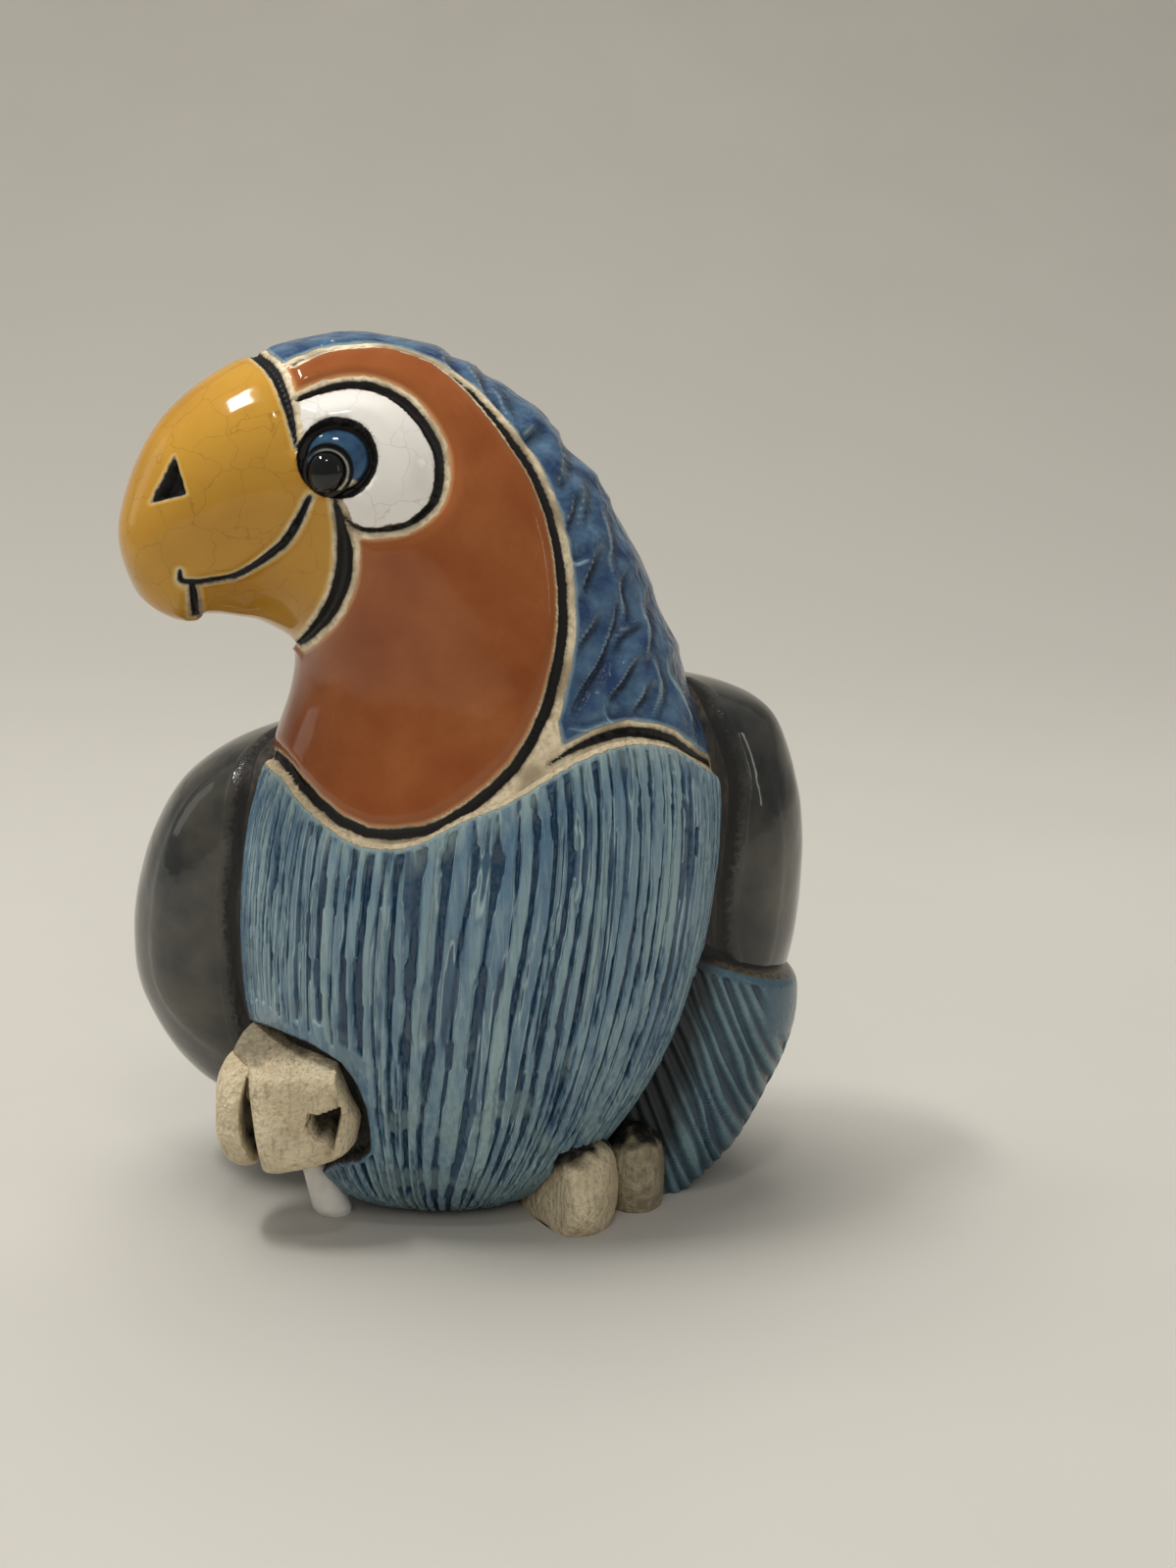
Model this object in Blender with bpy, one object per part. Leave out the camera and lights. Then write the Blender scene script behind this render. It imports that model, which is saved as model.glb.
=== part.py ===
"""A small glazed ceramic parrot, cast and carved as one piece, standing on its belly, two toes, tail and a rod.

Every place below is drawn in millimetres on the figure at DRAWN_HEIGHT and is carried to HEIGHT as a share of it.
+Z is up, and the breast faces -Y. The head is turned to -X.
"""

import math

import bmesh
import bpy
import numpy as np

HEIGHT = 0.071
DRAWN_HEIGHT = 71.0
SCALE = HEIGHT / DRAWN_HEIGHT

# Where the middle of the figure's box falls, and the point that the carver's elevation is drawn from.
BOX_CENTRE = (-1.44, 6.63)
EYE_POINT = np.array([9.0, -199.6, 78.0])

# Carving.
FLUTES = 48
FLUTE_DEPTH = 0.5
BREAST_RISE = 0.62
LINE_RADIUS = 0.62
LINE_DEPTH = 0.42
TAIL_GROOVES = 30
TAIL_GROOVE_DEPTH = 0.45
SINK = 1.6

# How finely each form is divided.
TRUNK_ROWS = 38
TRUNK_COLUMNS = 36
BREAST_ROWS = 9
WING_ROWS = 13
WING_COLUMNS = 12
TAIL_ROWS = 7
LINE_SIDES = 5
LINE_STEP = 1.8
LINE_KNOTS = 60

# Sight lines tried, along and around the trunk, to find where a drawn point lands on it.
SIGHTS = (700, 361)
FIRST_SIGHT = 0.3

# Steps of station and turn over which the trunk's slopes are taken.
SLOPE_STATION = 0.02
SLOPE_TURN = 0.5

# The trunk runs from under the belly, up the breast and neck, over the head and down the beak. Each station is a
# section between a left point and a right point (x, z), with its depth's centre y, half depth and squareness.
STATIONS = np.array([
    (-8.6, 0.0, 3.0, 0.0, 5.0, 5.6, 2.1),
    (-13.8, 2.6, 8.2, 3.0, 4.8, 10.0, 2.2),
    (-16.9, 8.5, 12.9, 9.0, 4.6, 13.0, 2.3),
    (-18.5, 16.0, 16.4, 16.0, 4.5, 15.0, 2.3),
    (-18.9, 24.0, 18.5, 24.0, 4.5, 16.0, 2.3),
    (-18.1, 32.0, 19.3, 32.0, 4.5, 15.8, 2.3),
    (-16.2, 38.2, 18.8, 38.0, 4.4, 15.0, 2.2),
    (-14.6, 42.8, 17.2, 43.6, 4.1, 14.2, 2.1),
    (-14.2, 45.8, 14.4, 50.4, 3.6, 13.6, 2.0),
    (-14.9, 47.0, 9.5, 60.0, 3.0, 13.0, 2.0),
    (-15.9, 47.9, 1.5, 68.0, 2.0, 12.2, 2.0),
    (-17.0, 48.7, -8.0, 71.0, 0.6, 11.2, 2.0),
    (-18.2, 49.2, -16.4, 69.6, -1.0, 10.0, 2.0),
    (-19.5, 49.6, -23.1, 65.1, -2.5, 8.5, 2.0),
    (-20.6, 49.7, -26.6, 57.9, -3.5, 6.4, 2.0),
    (-21.7, 49.6, -25.9, 52.6, -4.0, 3.6, 2.0),
    (-23.0, 49.8, -23.4, 50.0, -4.0, 0.3, 2.0),
])
LAST_STATION = len(STATIONS) - 1

# Carved lines of the head as the elevation shows them, (x, z) where the sight line crosses the plane Y = 0.
BEAK_LINE = ((-16.6, 69.6), (-15.2, 67.9), (-14.3, 65.6), (-13.8, 62.5))
MOUTH = ((-12.8, 58.5), (-13.9, 56.3), (-15.2, 54.6), (-17.2, 53.1), (-19.1, 52.2), (-21.5, 51.8))
HOOK = ((-21.6, 51.8), (-22.0, 50.4))
JAW_LINE = ((-10.7, 58.2), (-10.3, 56.0), (-10.1, 54.1), (-10.4, 51.8), (-11.4, 49.5), (-13.2, 47.4))
FACE_EDGE = (
    (-12.6, 68.9), (-6.5, 70.0), (-2.9, 69.0), (2.7, 63.4), (5.2, 59.7), (6.9, 54.0), (7.1, 48.2), (6.4, 43.0),
    (3.2, 36.8), (-0.5, 33.6), (-4.6, 31.5), (-8.2, 31.4), (-11.7, 33.2), (-13.9, 35.7), (-15.3, 37.8),
)
FAR_FACE_EDGE = FACE_EDGE[:8]
COLLAR = ((5.9, 37.8), (8.6, 39.1), (12.7, 39.9), (15.4, 39.3), (18.3, 37.4))
EYE_CENTRE = (-7.6, 61.3)
EYE_RADIUS = 5.9
EYE_FROM, EYE_TO = -112.0, 128.0
IRIS = (-10.6, 61.5)
IRIS_RADIUS = 3.0
IRIS_RISE = 0.7
PUPIL = (-11.4, 60.6)
PUPIL_RADIUS = 1.6
PUPIL_RISE = 1.5
NOSTRIL = ((-23.1, 61.4), (-25.0, 58.0), (-22.6, 58.8))
NOSTRIL_DEPTH = 1.0
NOSTRIL_TAPER = 0.7

# The fluted breast reaches up to the face line and the collar, and round to these turns (0 right, 90 front, 180 left).
BREAST_FOOT = 0.55
BREAST_RIGHT, BREAST_LEFT = -6.0, 186.0
BREAST_CORNER = 5.1
BREAST_MARGIN = 0.09
FLUTE_RIM = 0.125

# A wing: the stations of its front and back edges, the turns of those edges, how far it stands out of the trunk, and
# by how many stations its middle hangs below its edges.
LEFT_WING = (
    (1.2, 0.9, 206.0, 226.0, 3.0, 0.0), (1.9, 1.7, 186.0, 240.0, 10.0, 0.0), (3.0, 2.8, 173.0, 252.0, 13.8, 0.0),
    (4.0, 3.9, 170.0, 260.0, 13.6, 0.0), (5.0, 5.0, 170.0, 262.0, 10.8, 0.0), (5.65, 5.75, 174.0, 262.0, 6.6, 0.0),
    (6.1, 6.35, 186.0, 250.0, 1.2, 0.0),
)
RIGHT_WING = (
    (3.5, 3.4, 8.0, -84.0, 11.9, 0.5), (3.95, 3.75, 8.0, -84.0, 11.8, 0.35), (4.7, 4.5, 8.0, -84.0, 10.9, 0.1),
    (5.5, 5.4, 6.0, -84.0, 9.8, 0.0), (6.2, 6.2, 4.0, -80.0, 8.4, 0.0), (6.6, 6.65, 0.0, -72.0, 5.2, 0.0),
    (6.85, 6.9, -12.0, -58.0, 1.0, 0.0),
)
WING_EDGE = 0.42
WING_TUCK = 0.3
WING_FALL = 0.5
WING_LEVEL = 0.25

# The tail's sections: height, centre x, centre y, half width and half thickness, turned so that it faces right and back.
TAIL = np.array([
    (-0.6, 11.0, 7.4, 7.0, 3.0),
    (3.3, 12.2, 9.4, 10.6, 6.2),
    (8.7, 12.8, 11.6, 13.4, 8.8),
    (13.0, 12.9, 12.4, 15.0, 10.5),
    (16.8, 12.9, 12.5, 15.5, 10.9),
    (18.2, 12.9, 12.4, 15.1, 10.5),
    (19.0, 12.6, 12.2, 13.6, 9.2),
    (21.0, 11.5, 11.8, 11.5, 7.5),
])
TAIL_RIM = 16.8
# The tail's rim climbs towards the trunk, from this place across it and over this much of it.
TAIL_LIFT = 0.37
TAIL_EDGE = 25.0
TAIL_LIFTED = (-2.0, 7.5)
TAIL_FACING = math.radians(50.0)
TAIL_SLANT = -3.0

# Flats whittled on the lumps: a point on the flat and the way it faces.
FIST_TOP = ((-14.0, -9.8, 14.3), (0.0, -0.27, 0.96))
FIST_SIDE = ((-10.3, -8.0, 14.8), (0.93, -0.1, 0.36))
FIST_HEEL = ((-13.0, -8.0, 6.8), (0.3, 0.0, -0.95))
TOE_SIDE = ((4.3, -2.3, 0.0), (-0.88, -0.46, 0.1))

# Lumps of bare clay: centre, radii, squareness, lean about Y in degrees, and flats.
FIST = ((-13.7, -5.2, 10.9), (4.8, 5.3, 5.8), 3.6, 12.0, (FIST_TOP, FIST_SIDE, FIST_HEEL))
PALM = ((-15.2, -3.6, 13.2), (4.4, 4.6, 3.6), 2.6, 16.0, (FIST_TOP,))
FIST_TOE = ((-18.4, -4.9, 10.3), (2.3, 4.8, 4.6), 2.4, 0.0, ())
FRONT_TOE = ((7.0, -1.6, 2.4), (4.5, 6.5, 4.8), 2.4, 0.0, (TOE_SIDE,))
SECOND_TOE = ((12.9, 1.6, 2.4), (2.4, 4.2, 4.3), 2.5, 0.0, ())
ROD = ((-14.0, -2.9, 8.0), (-13.4, -2.4, 4.8), (-12.6, -2.0, 2.4), (-11.9, -1.6, 0.0))
ROD_RADII = (1.0, 1.05, 1.4, 1.65)
FIST_SLIT = ((-17.9, -10.4, 13.6), (-17.6, -10.2, 11.6), (-17.2, -10.0, 9.2), (-17.0, -9.6, 6.4))
FIST_SLIT_RADIUS = 0.55
FIST_NOTCH = ((-13.1, 10.1), (-10.7, 11.0), (-11.3, 7.6), (-12.4, 8.4))
FIST_NOTCH_MOUTH = -14.0
FIST_NOTCH_BOTTOM = -8.6

GLAZES = {
    "blue_glaze": ((0.045, 0.16, 0.27, 1.0), 0.3),
    "orange_glaze": ((0.38, 0.1, 0.03, 1.0), 0.15),
    "dark_glaze": ((0.03, 0.032, 0.03, 1.0), 0.12),
    "bare_clay": ((0.5, 0.42, 0.29, 1.0), 0.85),
    "stain": ((0.02, 0.018, 0.014, 1.0), 0.8),
}


def clear_scene():
    """Takes out every object, mesh and material that the file starts with."""
    for block in (bpy.data.objects, bpy.data.meshes, bpy.data.materials):
        for item in list(block):
            block.remove(item)


def glaze(name):
    """The material of this name, made on its first use."""
    found = bpy.data.materials.get(name)
    if found:
        return found
    colour, roughness = GLAZES[name]
    material = bpy.data.materials.new(name)
    material.use_nodes = True
    shader = material.node_tree.nodes["Principled BSDF"]
    shader.inputs["Base Color"].default_value = colour
    shader.inputs["Roughness"].default_value = roughness
    shader.inputs["Metallic"].default_value = 0.0
    material.diffuse_color = colour
    return material


def through(rows, at):
    """A smooth curve through the rows, read at fractional row numbers: a Catmull-Rom spline."""
    at = np.clip(at, 0, len(rows) - 1 - 1e-9)
    first = np.floor(at).astype(int)
    part = (at - first)[..., None]

    def row(step):
        return rows[np.clip(first + step, 0, len(rows) - 1)]

    before, start, end, after = row(-1), row(0), row(1), row(2)
    return start + 0.5 * part * (
        end - before
        + part * (2 * before - 5 * start + 4 * end - after + part * (3 * (start - end) + after - before))
    )


def rounded(angle, squareness):
    """Cosine and sine of a superellipse: 2 is a circle, and more is squarer."""
    power = 2 / squareness
    return tuple(np.sign(v) * np.abs(v) ** power for v in (np.cos(angle), np.sin(angle)))


def trunk(station, turn):
    """The trunk's surface at a station and a turn in degrees: 0 right, 90 front, 180 left, 270 back."""
    station, turn = np.broadcast_arrays(np.asarray(station, float), np.asarray(turn, float))
    left_x, left_z, right_x, right_z, depth_y, half_depth, square = np.moveaxis(through(STATIONS, station), -1, 0)
    across, forward = rounded(np.radians(turn), square)
    x = (left_x + right_x + (right_x - left_x) * across) / 2
    z = (left_z + right_z + (right_z - left_z) * across) / 2
    return np.stack([x, depth_y - half_depth * forward, z], -1)


def outward(station, turn):
    """The unit normal of the trunk there, from its slopes along and around."""
    along = trunk(station + SLOPE_STATION, turn) - trunk(station - SLOPE_STATION, turn)
    around = trunk(station, turn + SLOPE_TURN) - trunk(station, turn - SLOPE_TURN)
    normal = np.cross(along, around)
    return normal / np.linalg.norm(normal, axis=-1, keepdims=True)


def on_trunk(outline):
    """Station and turn of each outline point, by the nearest of many sight lines to the trunk's near side."""
    along, around = SIGHTS
    stations = np.linspace(FIRST_SIGHT, LAST_STATION, along, endpoint=False)
    station, turn = np.meshgrid(stations, np.linspace(0, 180, around), indexing="ij")
    points = trunk(station, turn)
    share = -EYE_POINT[1] / (points[..., 1] - EYE_POINT[1])
    seen = EYE_POINT + (points - EYE_POINT) * share[..., None]
    found = [np.argmin((seen[..., 0] - x) ** 2 + (seen[..., 2] - z) ** 2) for x, z in outline]
    return station.flat[found], turn.flat[found]


def tidy_faces(faces):
    """The faces with repeated corners taken out."""
    return [tuple(dict.fromkeys(face)) for face in faces]


def add_solid(name, points, faces, material, helper=True):
    """An object from points in drawn millimetres, its faces turned outwards. A helper stays out of the model."""
    points = (np.asarray(points) - (*BOX_CENTRE, 0.0)) * SCALE
    mesh = bpy.data.meshes.new(name)
    mesh.from_pydata(points.tolist(), [], tidy_faces(faces))
    corners = [(points[f[0]], points[f[k]], points[f[k + 1]]) for f in faces for k in range(1, len(f) - 1)]
    if np.linalg.det(np.array(corners)).sum() < 0:
        mesh.flip_normals()
    mesh.materials.append(glaze(material))
    mesh.shade_smooth()
    mesh.set_sharp_from_angle(angle=math.radians(35.0))
    item = bpy.data.objects.new(name, mesh)
    bpy.context.scene.collection.objects.link(item)
    if helper:
        item.hide_render = True
        item.display_type = "WIRE"
    return item


def ring_faces(rows, columns, first=0):
    """Faces of a tube of points, row by row, closed around, with a lid at each end."""
    index = first + np.arange(rows * columns).reshape(rows, columns)
    faces = []
    for low, high in zip(index[:-1], index[1:]):
        for k in range(columns):
            other = (k + 1) % columns
            faces.append((low[k], low[other], high[other], high[k]))
    faces.append(tuple(index[0][::-1]))
    faces.append(tuple(index[-1]))
    return faces


def slab_faces(rows, columns):
    """Faces of two sheets of points, upper then lower, joined all round their rims."""
    upper = np.arange(rows * columns).reshape(rows, columns)
    lower = upper + rows * columns
    faces = []
    for i in range(rows - 1):
        for k in range(columns - 1):
            faces.append((upper[i, k], upper[i, k + 1], upper[i + 1, k + 1], upper[i + 1, k]))
            faces.append((lower[i, k], lower[i + 1, k], lower[i + 1, k + 1], lower[i, k + 1]))
    for a, b in (((0, slice(None)), 1), ((-1, slice(None)), -1), ((slice(None), 0), -1), ((slice(None), -1), 1)):
        top, bottom = upper[a][::b], lower[a][::b]
        for k in range(len(top) - 1):
            faces.append((top[k], bottom[k], bottom[k + 1], top[k + 1]))
    return faces


def make_trunk():
    """Belly, neck, head and beak: one surface of sections, flat underneath."""
    station = np.linspace(0, LAST_STATION, TRUNK_ROWS)[:, None]
    turn = np.arange(TRUNK_COLUMNS)[None, :] * 360 / TRUNK_COLUMNS
    points = trunk(station, turn).reshape(-1, 3)
    return add_solid("parrot", points, ring_faces(TRUNK_ROWS, TRUNK_COLUMNS), "orange_glaze", helper=False)


def make_breast():
    """The fluted breast: a shield on the trunk whose ridges and hollows run up from the belly."""
    columns = 2 * FLUTES + 1
    tops, turns = on_trunk(COLLAR[::-1] + FACE_EDGE[8:])
    turns = np.array([BREAST_RIGHT, *turns, BREAST_LEFT])
    tops = np.array([BREAST_CORNER, *tops, BREAST_CORNER]) - BREAST_MARGIN
    turn = np.linspace(BREAST_RIGHT, BREAST_LEFT, columns)
    top = np.interp(turn, turns, tops)
    share = np.linspace(0, 1, BREAST_ROWS)[:, None]
    station = BREAST_FOOT + (top - BREAST_FOOT) * share
    turn = np.broadcast_to(turn, station.shape)
    ridge = np.arange(columns) % 2
    rim = np.minimum(1, np.minimum(share, 1 - share) / FLUTE_RIM)
    rise = BREAST_RISE - FLUTE_DEPTH * (1 - ridge) * rim
    surface, normal = trunk(station, turn), outward(station, turn)
    points = np.concatenate([
        (surface + normal * rise[..., None]).reshape(-1, 3),
        (surface - normal * SINK).reshape(-1, 3),
    ])
    return add_solid("breast_form", points, slab_faces(BREAST_ROWS, columns), "blue_glaze")


def make_wing(name, outline):
    """A wing: a shield on the trunk that stands out as a rounded shoulder and falls away to the back."""
    rows = np.array(outline)
    share = np.linspace(0, 1, WING_ROWS)
    low, high, front, back, height, sag = np.moveaxis(through(rows, share * (len(rows) - 1))[:, None, :], -1, 0)
    across = (1 - np.cos(np.linspace(0, math.pi, WING_COLUMNS))) / 2
    turn = front + (back - front) * across
    station = low + (high - low) * across - sag * np.sin(math.pi * across)
    rise = height * np.sin(math.pi * across) ** WING_EDGE * (1 - WING_FALL * across**2) - WING_TUCK
    surface, normal = trunk(station, turn), outward(station, turn)
    level = normal * (1, 1, WING_LEVEL)
    level /= np.linalg.norm(level, axis=-1, keepdims=True)
    points = np.concatenate([
        (surface + level * rise[..., None]).reshape(-1, 3),
        (surface - normal * SINK).reshape(-1, 3),
    ])
    return add_solid(name, points, slab_faces(WING_ROWS, WING_COLUMNS), "dark_glaze")


def make_tail():
    """The tail: oval sections that narrow to the floor, with slanting grooves on its outer face."""
    columns = 2 * TAIL_GROOVES
    height, x, y, width, thick = np.moveaxis(
        through(TAIL, np.linspace(0, len(TAIL) - 1, TAIL_ROWS))[:, None, :], -1, 0
    )
    angle = np.arange(columns) * 2 * math.pi / columns
    angle = angle[None, :] + np.radians(TAIL_SLANT) * height
    groove = np.where(np.arange(columns) % 2, 0.0, TAIL_GROOVE_DEPTH) * (height <= TAIL_RIM)
    along = (width - groove) * np.cos(angle)
    outer = (thick - groove) * np.sin(angle)
    facing = (math.cos(TAIL_FACING), math.sin(TAIL_FACING))
    x = x + along * facing[1] + outer * facing[0]
    y = y - along * facing[0] + outer * facing[1]
    lift = TAIL_LIFT * np.clip(TAIL_EDGE - x, *TAIL_LIFTED) * np.clip(height / TAIL_RIM, 0, 1)
    points = np.stack([x, y, np.maximum(height, 0) + lift], -1)
    return add_solid("tail_form", points.reshape(-1, 3), ring_faces(TAIL_ROWS, columns), "blue_glaze")


def make_lump(name, lump, rows=8, columns=14):
    """A rounded lump of clay, cut flat where it meets the floor and whittled to its flats."""
    centre, radii, square, lean, flats = lump
    latitude = np.linspace(-math.pi / 2, math.pi / 2, rows)[:, None]
    longitude = np.arange(columns)[None, :] * 2 * math.pi / columns
    ring, up = rounded(latitude, square)
    east, north = rounded(longitude, square)
    x, y, z = ring * east * radii[0], ring * north * radii[1], (up + 0 * east) * radii[2]
    lean = math.radians(lean)
    points = np.stack([
        centre[0] + x * math.cos(lean) + z * math.sin(lean),
        centre[1] + y,
        np.maximum(centre[2] + z * math.cos(lean) - x * math.sin(lean), 0),
    ], -1)[1:-1]
    item = add_solid(name, points.reshape(-1, 3), ring_faces(rows - 2, columns), "bare_clay")
    for place, facing in flats:
        whittle(item.data, (np.array(place) - (*BOX_CENTRE, 0.0)) * SCALE, facing)
    return item


def whittle(mesh, place, facing):
    """Slices off what lies beyond a plane and closes the mesh with the flat."""
    form = bmesh.new()
    form.from_mesh(mesh)
    everything = form.verts[:] + form.edges[:] + form.faces[:]
    cut = bmesh.ops.bisect_plane(form, geom=everything, plane_co=place, plane_no=facing, clear_outer=True)
    rim = [item for item in cut["geom_cut"] if isinstance(item, bmesh.types.BMEdge)]
    bmesh.ops.contextual_create(form, geom=rim)
    bmesh.ops.recalc_face_normals(form, faces=form.faces[:])
    form.to_mesh(mesh)
    form.free()


def sweep(path, radii, sides, first=0):
    """Points and faces of a round bar along a path."""
    path = np.asarray(path, float)
    direction = np.gradient(path, axis=0)
    direction /= np.linalg.norm(direction, axis=1, keepdims=True)
    side = np.cross(direction, (0.3, 1.0, 0.2))
    side /= np.linalg.norm(side, axis=1, keepdims=True)
    other = np.cross(direction, side)
    angle = np.arange(sides) * 2 * math.pi / sides
    ring = side[:, None] * np.cos(angle)[:, None] + other[:, None] * np.sin(angle)[:, None]
    points = path[:, None] + ring * np.broadcast_to(radii, len(path))[:, None, None]
    return points.reshape(-1, 3), ring_faces(len(path), sides, first)


def make_rod():
    """The thin rod that props up the raised foot, cut level at both ends."""
    points, faces = sweep(ROD, ROD_RADII, 12)
    points = points.reshape(len(ROD), -1, 3)
    points[..., 2] = np.array(ROD)[:, 2, None]
    return add_solid("rod_form", points.reshape(-1, 3), faces, "bare_clay")


def line_path(outline, far=False):
    """The centre of a gouge's cut along an outline, on the near cheek or the far one."""
    station, turn = on_trunk(outline)
    knots = through(np.stack([station, turn], -1), np.linspace(0, len(outline) - 1, LINE_KNOTS))
    side = -1 if far else 1
    path = trunk(knots[:, 0], side * knots[:, 1])
    length = np.concatenate([[0], np.cumsum(np.linalg.norm(np.diff(path, axis=0), axis=1))])
    count = max(3, round(length[-1] / LINE_STEP))
    at = np.interp(np.linspace(0, length[-1], count), length, np.arange(float(LINE_KNOTS)))
    station, turn = through(knots, at).T
    turn = side * turn
    return trunk(station, turn) + outward(station, turn) * (LINE_RADIUS - LINE_DEPTH)


def eye_outline():
    """The line round the white of the eye: most of a circle, open towards the beak."""
    angle = np.radians(np.linspace(EYE_FROM, EYE_TO, 9))
    return [(EYE_CENTRE[0] + EYE_RADIUS * math.cos(a), EYE_CENTRE[1] + EYE_RADIUS * math.sin(a)) for a in angle]


def make_lines(name, outlines, far=False, taper=1.0):
    """Gouge cuts along outlines that keep clear of one another, as one cutter."""
    points, faces = [], []
    for outline in outlines:
        path = line_path(outline, far)
        radii = LINE_RADIUS * (taper + (1 - taper) * np.sin(np.linspace(0, math.pi, len(path))))
        more_points, more_faces = sweep(path, radii, LINE_SIDES, sum(map(len, points)))
        points.append(more_points)
        faces += more_faces
    return add_solid(name, np.concatenate(points), faces, "stain")


def frame_at(place, far):
    """A point of the head and its tangent frame there: across, up and out."""
    (station,), (turn,) = on_trunk([place])
    turn = -turn if far else turn
    point, out = trunk(station, turn), outward(station, turn)
    across = np.cross((0, 0, 1), out)
    across /= np.linalg.norm(across)
    return point, across, np.cross(out, across), out


def make_dome(name, place, radius, rise, far, rows=7, columns=14):
    """A low round dome on the head, such as the iris or the pupil."""
    point, across, up, out = frame_at(place, far)
    latitude = np.linspace(-math.pi / 2, math.pi / 2, rows)[1:-1, None]
    longitude = np.arange(columns)[None, :] * 2 * math.pi / columns
    points = point + (
        (np.cos(latitude) * np.cos(longitude) * radius)[..., None] * across
        + (np.cos(latitude) * np.sin(longitude) * radius)[..., None] * up
        + (np.sin(latitude) * rise + 0 * longitude)[..., None] * out
    )
    return add_solid(name, points.reshape(-1, 3), ring_faces(rows - 2, columns), "stain")


def make_prism(name, near, deep):
    """A many-sided pit, from the points of its mouth and of its bottom."""
    return add_solid(name, np.concatenate([near, deep]), ring_faces(2, len(near)), "stain")


def make_nostril(name, far):
    """The three-cornered nostril, cut into the side of the beak."""
    station, turn = on_trunk(NOSTRIL)
    turn = -turn if far else turn
    mouth, out = trunk(station, turn), outward(station, turn)
    middle = mouth.mean(axis=0)
    return make_prism(name, mouth + out, middle + NOSTRIL_TAPER * (mouth - middle) - out * NOSTRIL_DEPTH)


def combine(target, items, operation, solver="EXACT"):
    """One Boolean for each item, in order."""
    for item in items:
        modifier = target.modifiers.new(item.name, "BOOLEAN")
        modifier.object = item
        modifier.operation = operation
        modifier.solver = solver


def main():
    """Builds the forms, joins them as one body and cuts its lines."""
    clear_scene()
    parrot = make_trunk()
    forms = [
        make_breast(),
        make_wing("left_wing_form", LEFT_WING),
        make_wing("right_wing_form", RIGHT_WING),
        make_tail(),
        make_lump("fist_form", FIST),
        make_lump("palm_form", PALM),
        make_lump("fist_toe_form", FIST_TOE),
        make_lump("front_toe_form", FRONT_TOE),
        make_lump("second_toe_form", SECOND_TOE),
        make_rod(),
    ]
    cuts = []
    for far in (False, True):
        side = "far" if far else "near"
        edge = FAR_FACE_EDGE if far else FACE_EDGE
        cuts.append(make_lines(f"{side}_face_line", [edge], far))
        cuts.append(make_lines(f"{side}_eye_line", [eye_outline()], far))
        cuts.append(make_lines(f"{side}_beak_line", [BEAK_LINE, JAW_LINE], far, taper=0.6))
        cuts.append(make_lines(f"{side}_mouth_line", [MOUTH], far, taper=0.7))
        cuts.append(make_lines(f"{side}_hook_line", [HOOK], far, taper=0.7))
        cuts.append(make_nostril(f"{side}_nostril", far))
    cuts.append(make_lines("collar_line", [COLLAR]))
    slit_points, slit_faces = sweep(FIST_SLIT, FIST_SLIT_RADIUS, LINE_SIDES)
    cuts.append(add_solid("fist_slit", slit_points, slit_faces, "stain"))
    notch = np.array([(x, FIST_NOTCH_MOUTH, z) for x, z in FIST_NOTCH])
    cuts.append(make_prism("fist_notch", notch, notch * (1, 0, 1) + (0, FIST_NOTCH_BOTTOM, 0)))
    domes = []
    for far in (False, True):
        side = "far" if far else "near"
        domes.append(make_dome(f"{side}_iris", IRIS, IRIS_RADIUS, IRIS_RISE, far))
        domes.append(make_dome(f"{side}_pupil", PUPIL, PUPIL_RADIUS, PUPIL_RISE, far))
    combine(parrot, forms, "UNION")
    # The exact solver loses the body at the far cheek's lines, so the cuts take the other one.
    combine(parrot, cuts, "DIFFERENCE", solver="MANIFOLD")
    combine(parrot, domes, "UNION")


main()
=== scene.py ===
"""The looks of a small hand-carved, glazed ceramic parrot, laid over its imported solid.

Every place is drawn in millimetres on the same figure as the solid's source, with the middle of its box at
BOX_CENTRE, and is carried to metres as the mesh is made. +Z is up, the breast faces -Y and the head is turned
to -X. The trunk is one surface of two parameters: the station, which runs from under the belly over the head
to the beak's tip, and the turn in degrees: 0 right, 90 front, 180 left, 270 back.
"""

from __future__ import annotations

import logging
import math
from dataclasses import dataclass, field
from enum import Enum
from typing import Any, Sequence

import bpy
import numpy as np
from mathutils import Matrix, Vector

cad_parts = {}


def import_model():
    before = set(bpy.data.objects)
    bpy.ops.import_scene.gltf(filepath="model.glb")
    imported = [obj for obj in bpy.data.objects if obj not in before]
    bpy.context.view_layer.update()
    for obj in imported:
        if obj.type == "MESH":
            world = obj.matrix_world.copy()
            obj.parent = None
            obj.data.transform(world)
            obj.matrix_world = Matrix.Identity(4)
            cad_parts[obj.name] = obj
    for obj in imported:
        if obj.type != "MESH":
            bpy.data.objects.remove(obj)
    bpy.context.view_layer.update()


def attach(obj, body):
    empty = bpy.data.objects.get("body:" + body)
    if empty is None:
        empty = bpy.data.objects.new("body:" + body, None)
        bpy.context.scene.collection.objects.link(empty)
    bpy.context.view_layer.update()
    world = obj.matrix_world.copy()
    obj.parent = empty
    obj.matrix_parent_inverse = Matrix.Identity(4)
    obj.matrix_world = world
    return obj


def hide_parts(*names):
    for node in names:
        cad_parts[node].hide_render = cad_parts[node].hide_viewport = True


LOG = logging.getLogger("parrot")

Array = np.ndarray
Colour = tuple[float, ...]
Outline = Sequence[tuple[float, ...]]
Place = tuple[float, float, float]

NODE = "parrot"
BODY = "root"
MILLIMETRE = 0.001
BOX_CENTRE = (-1.44, 6.63)
EYE_POINT = np.array([9.0, -199.6, 78.0])
PITCH = math.radians(12.0)
IMAGE_HEIGHT = 1599
FOCAL_PIXELS = 2600.0
SENSOR = 36.0
SHARP = math.radians(60.0)

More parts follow.
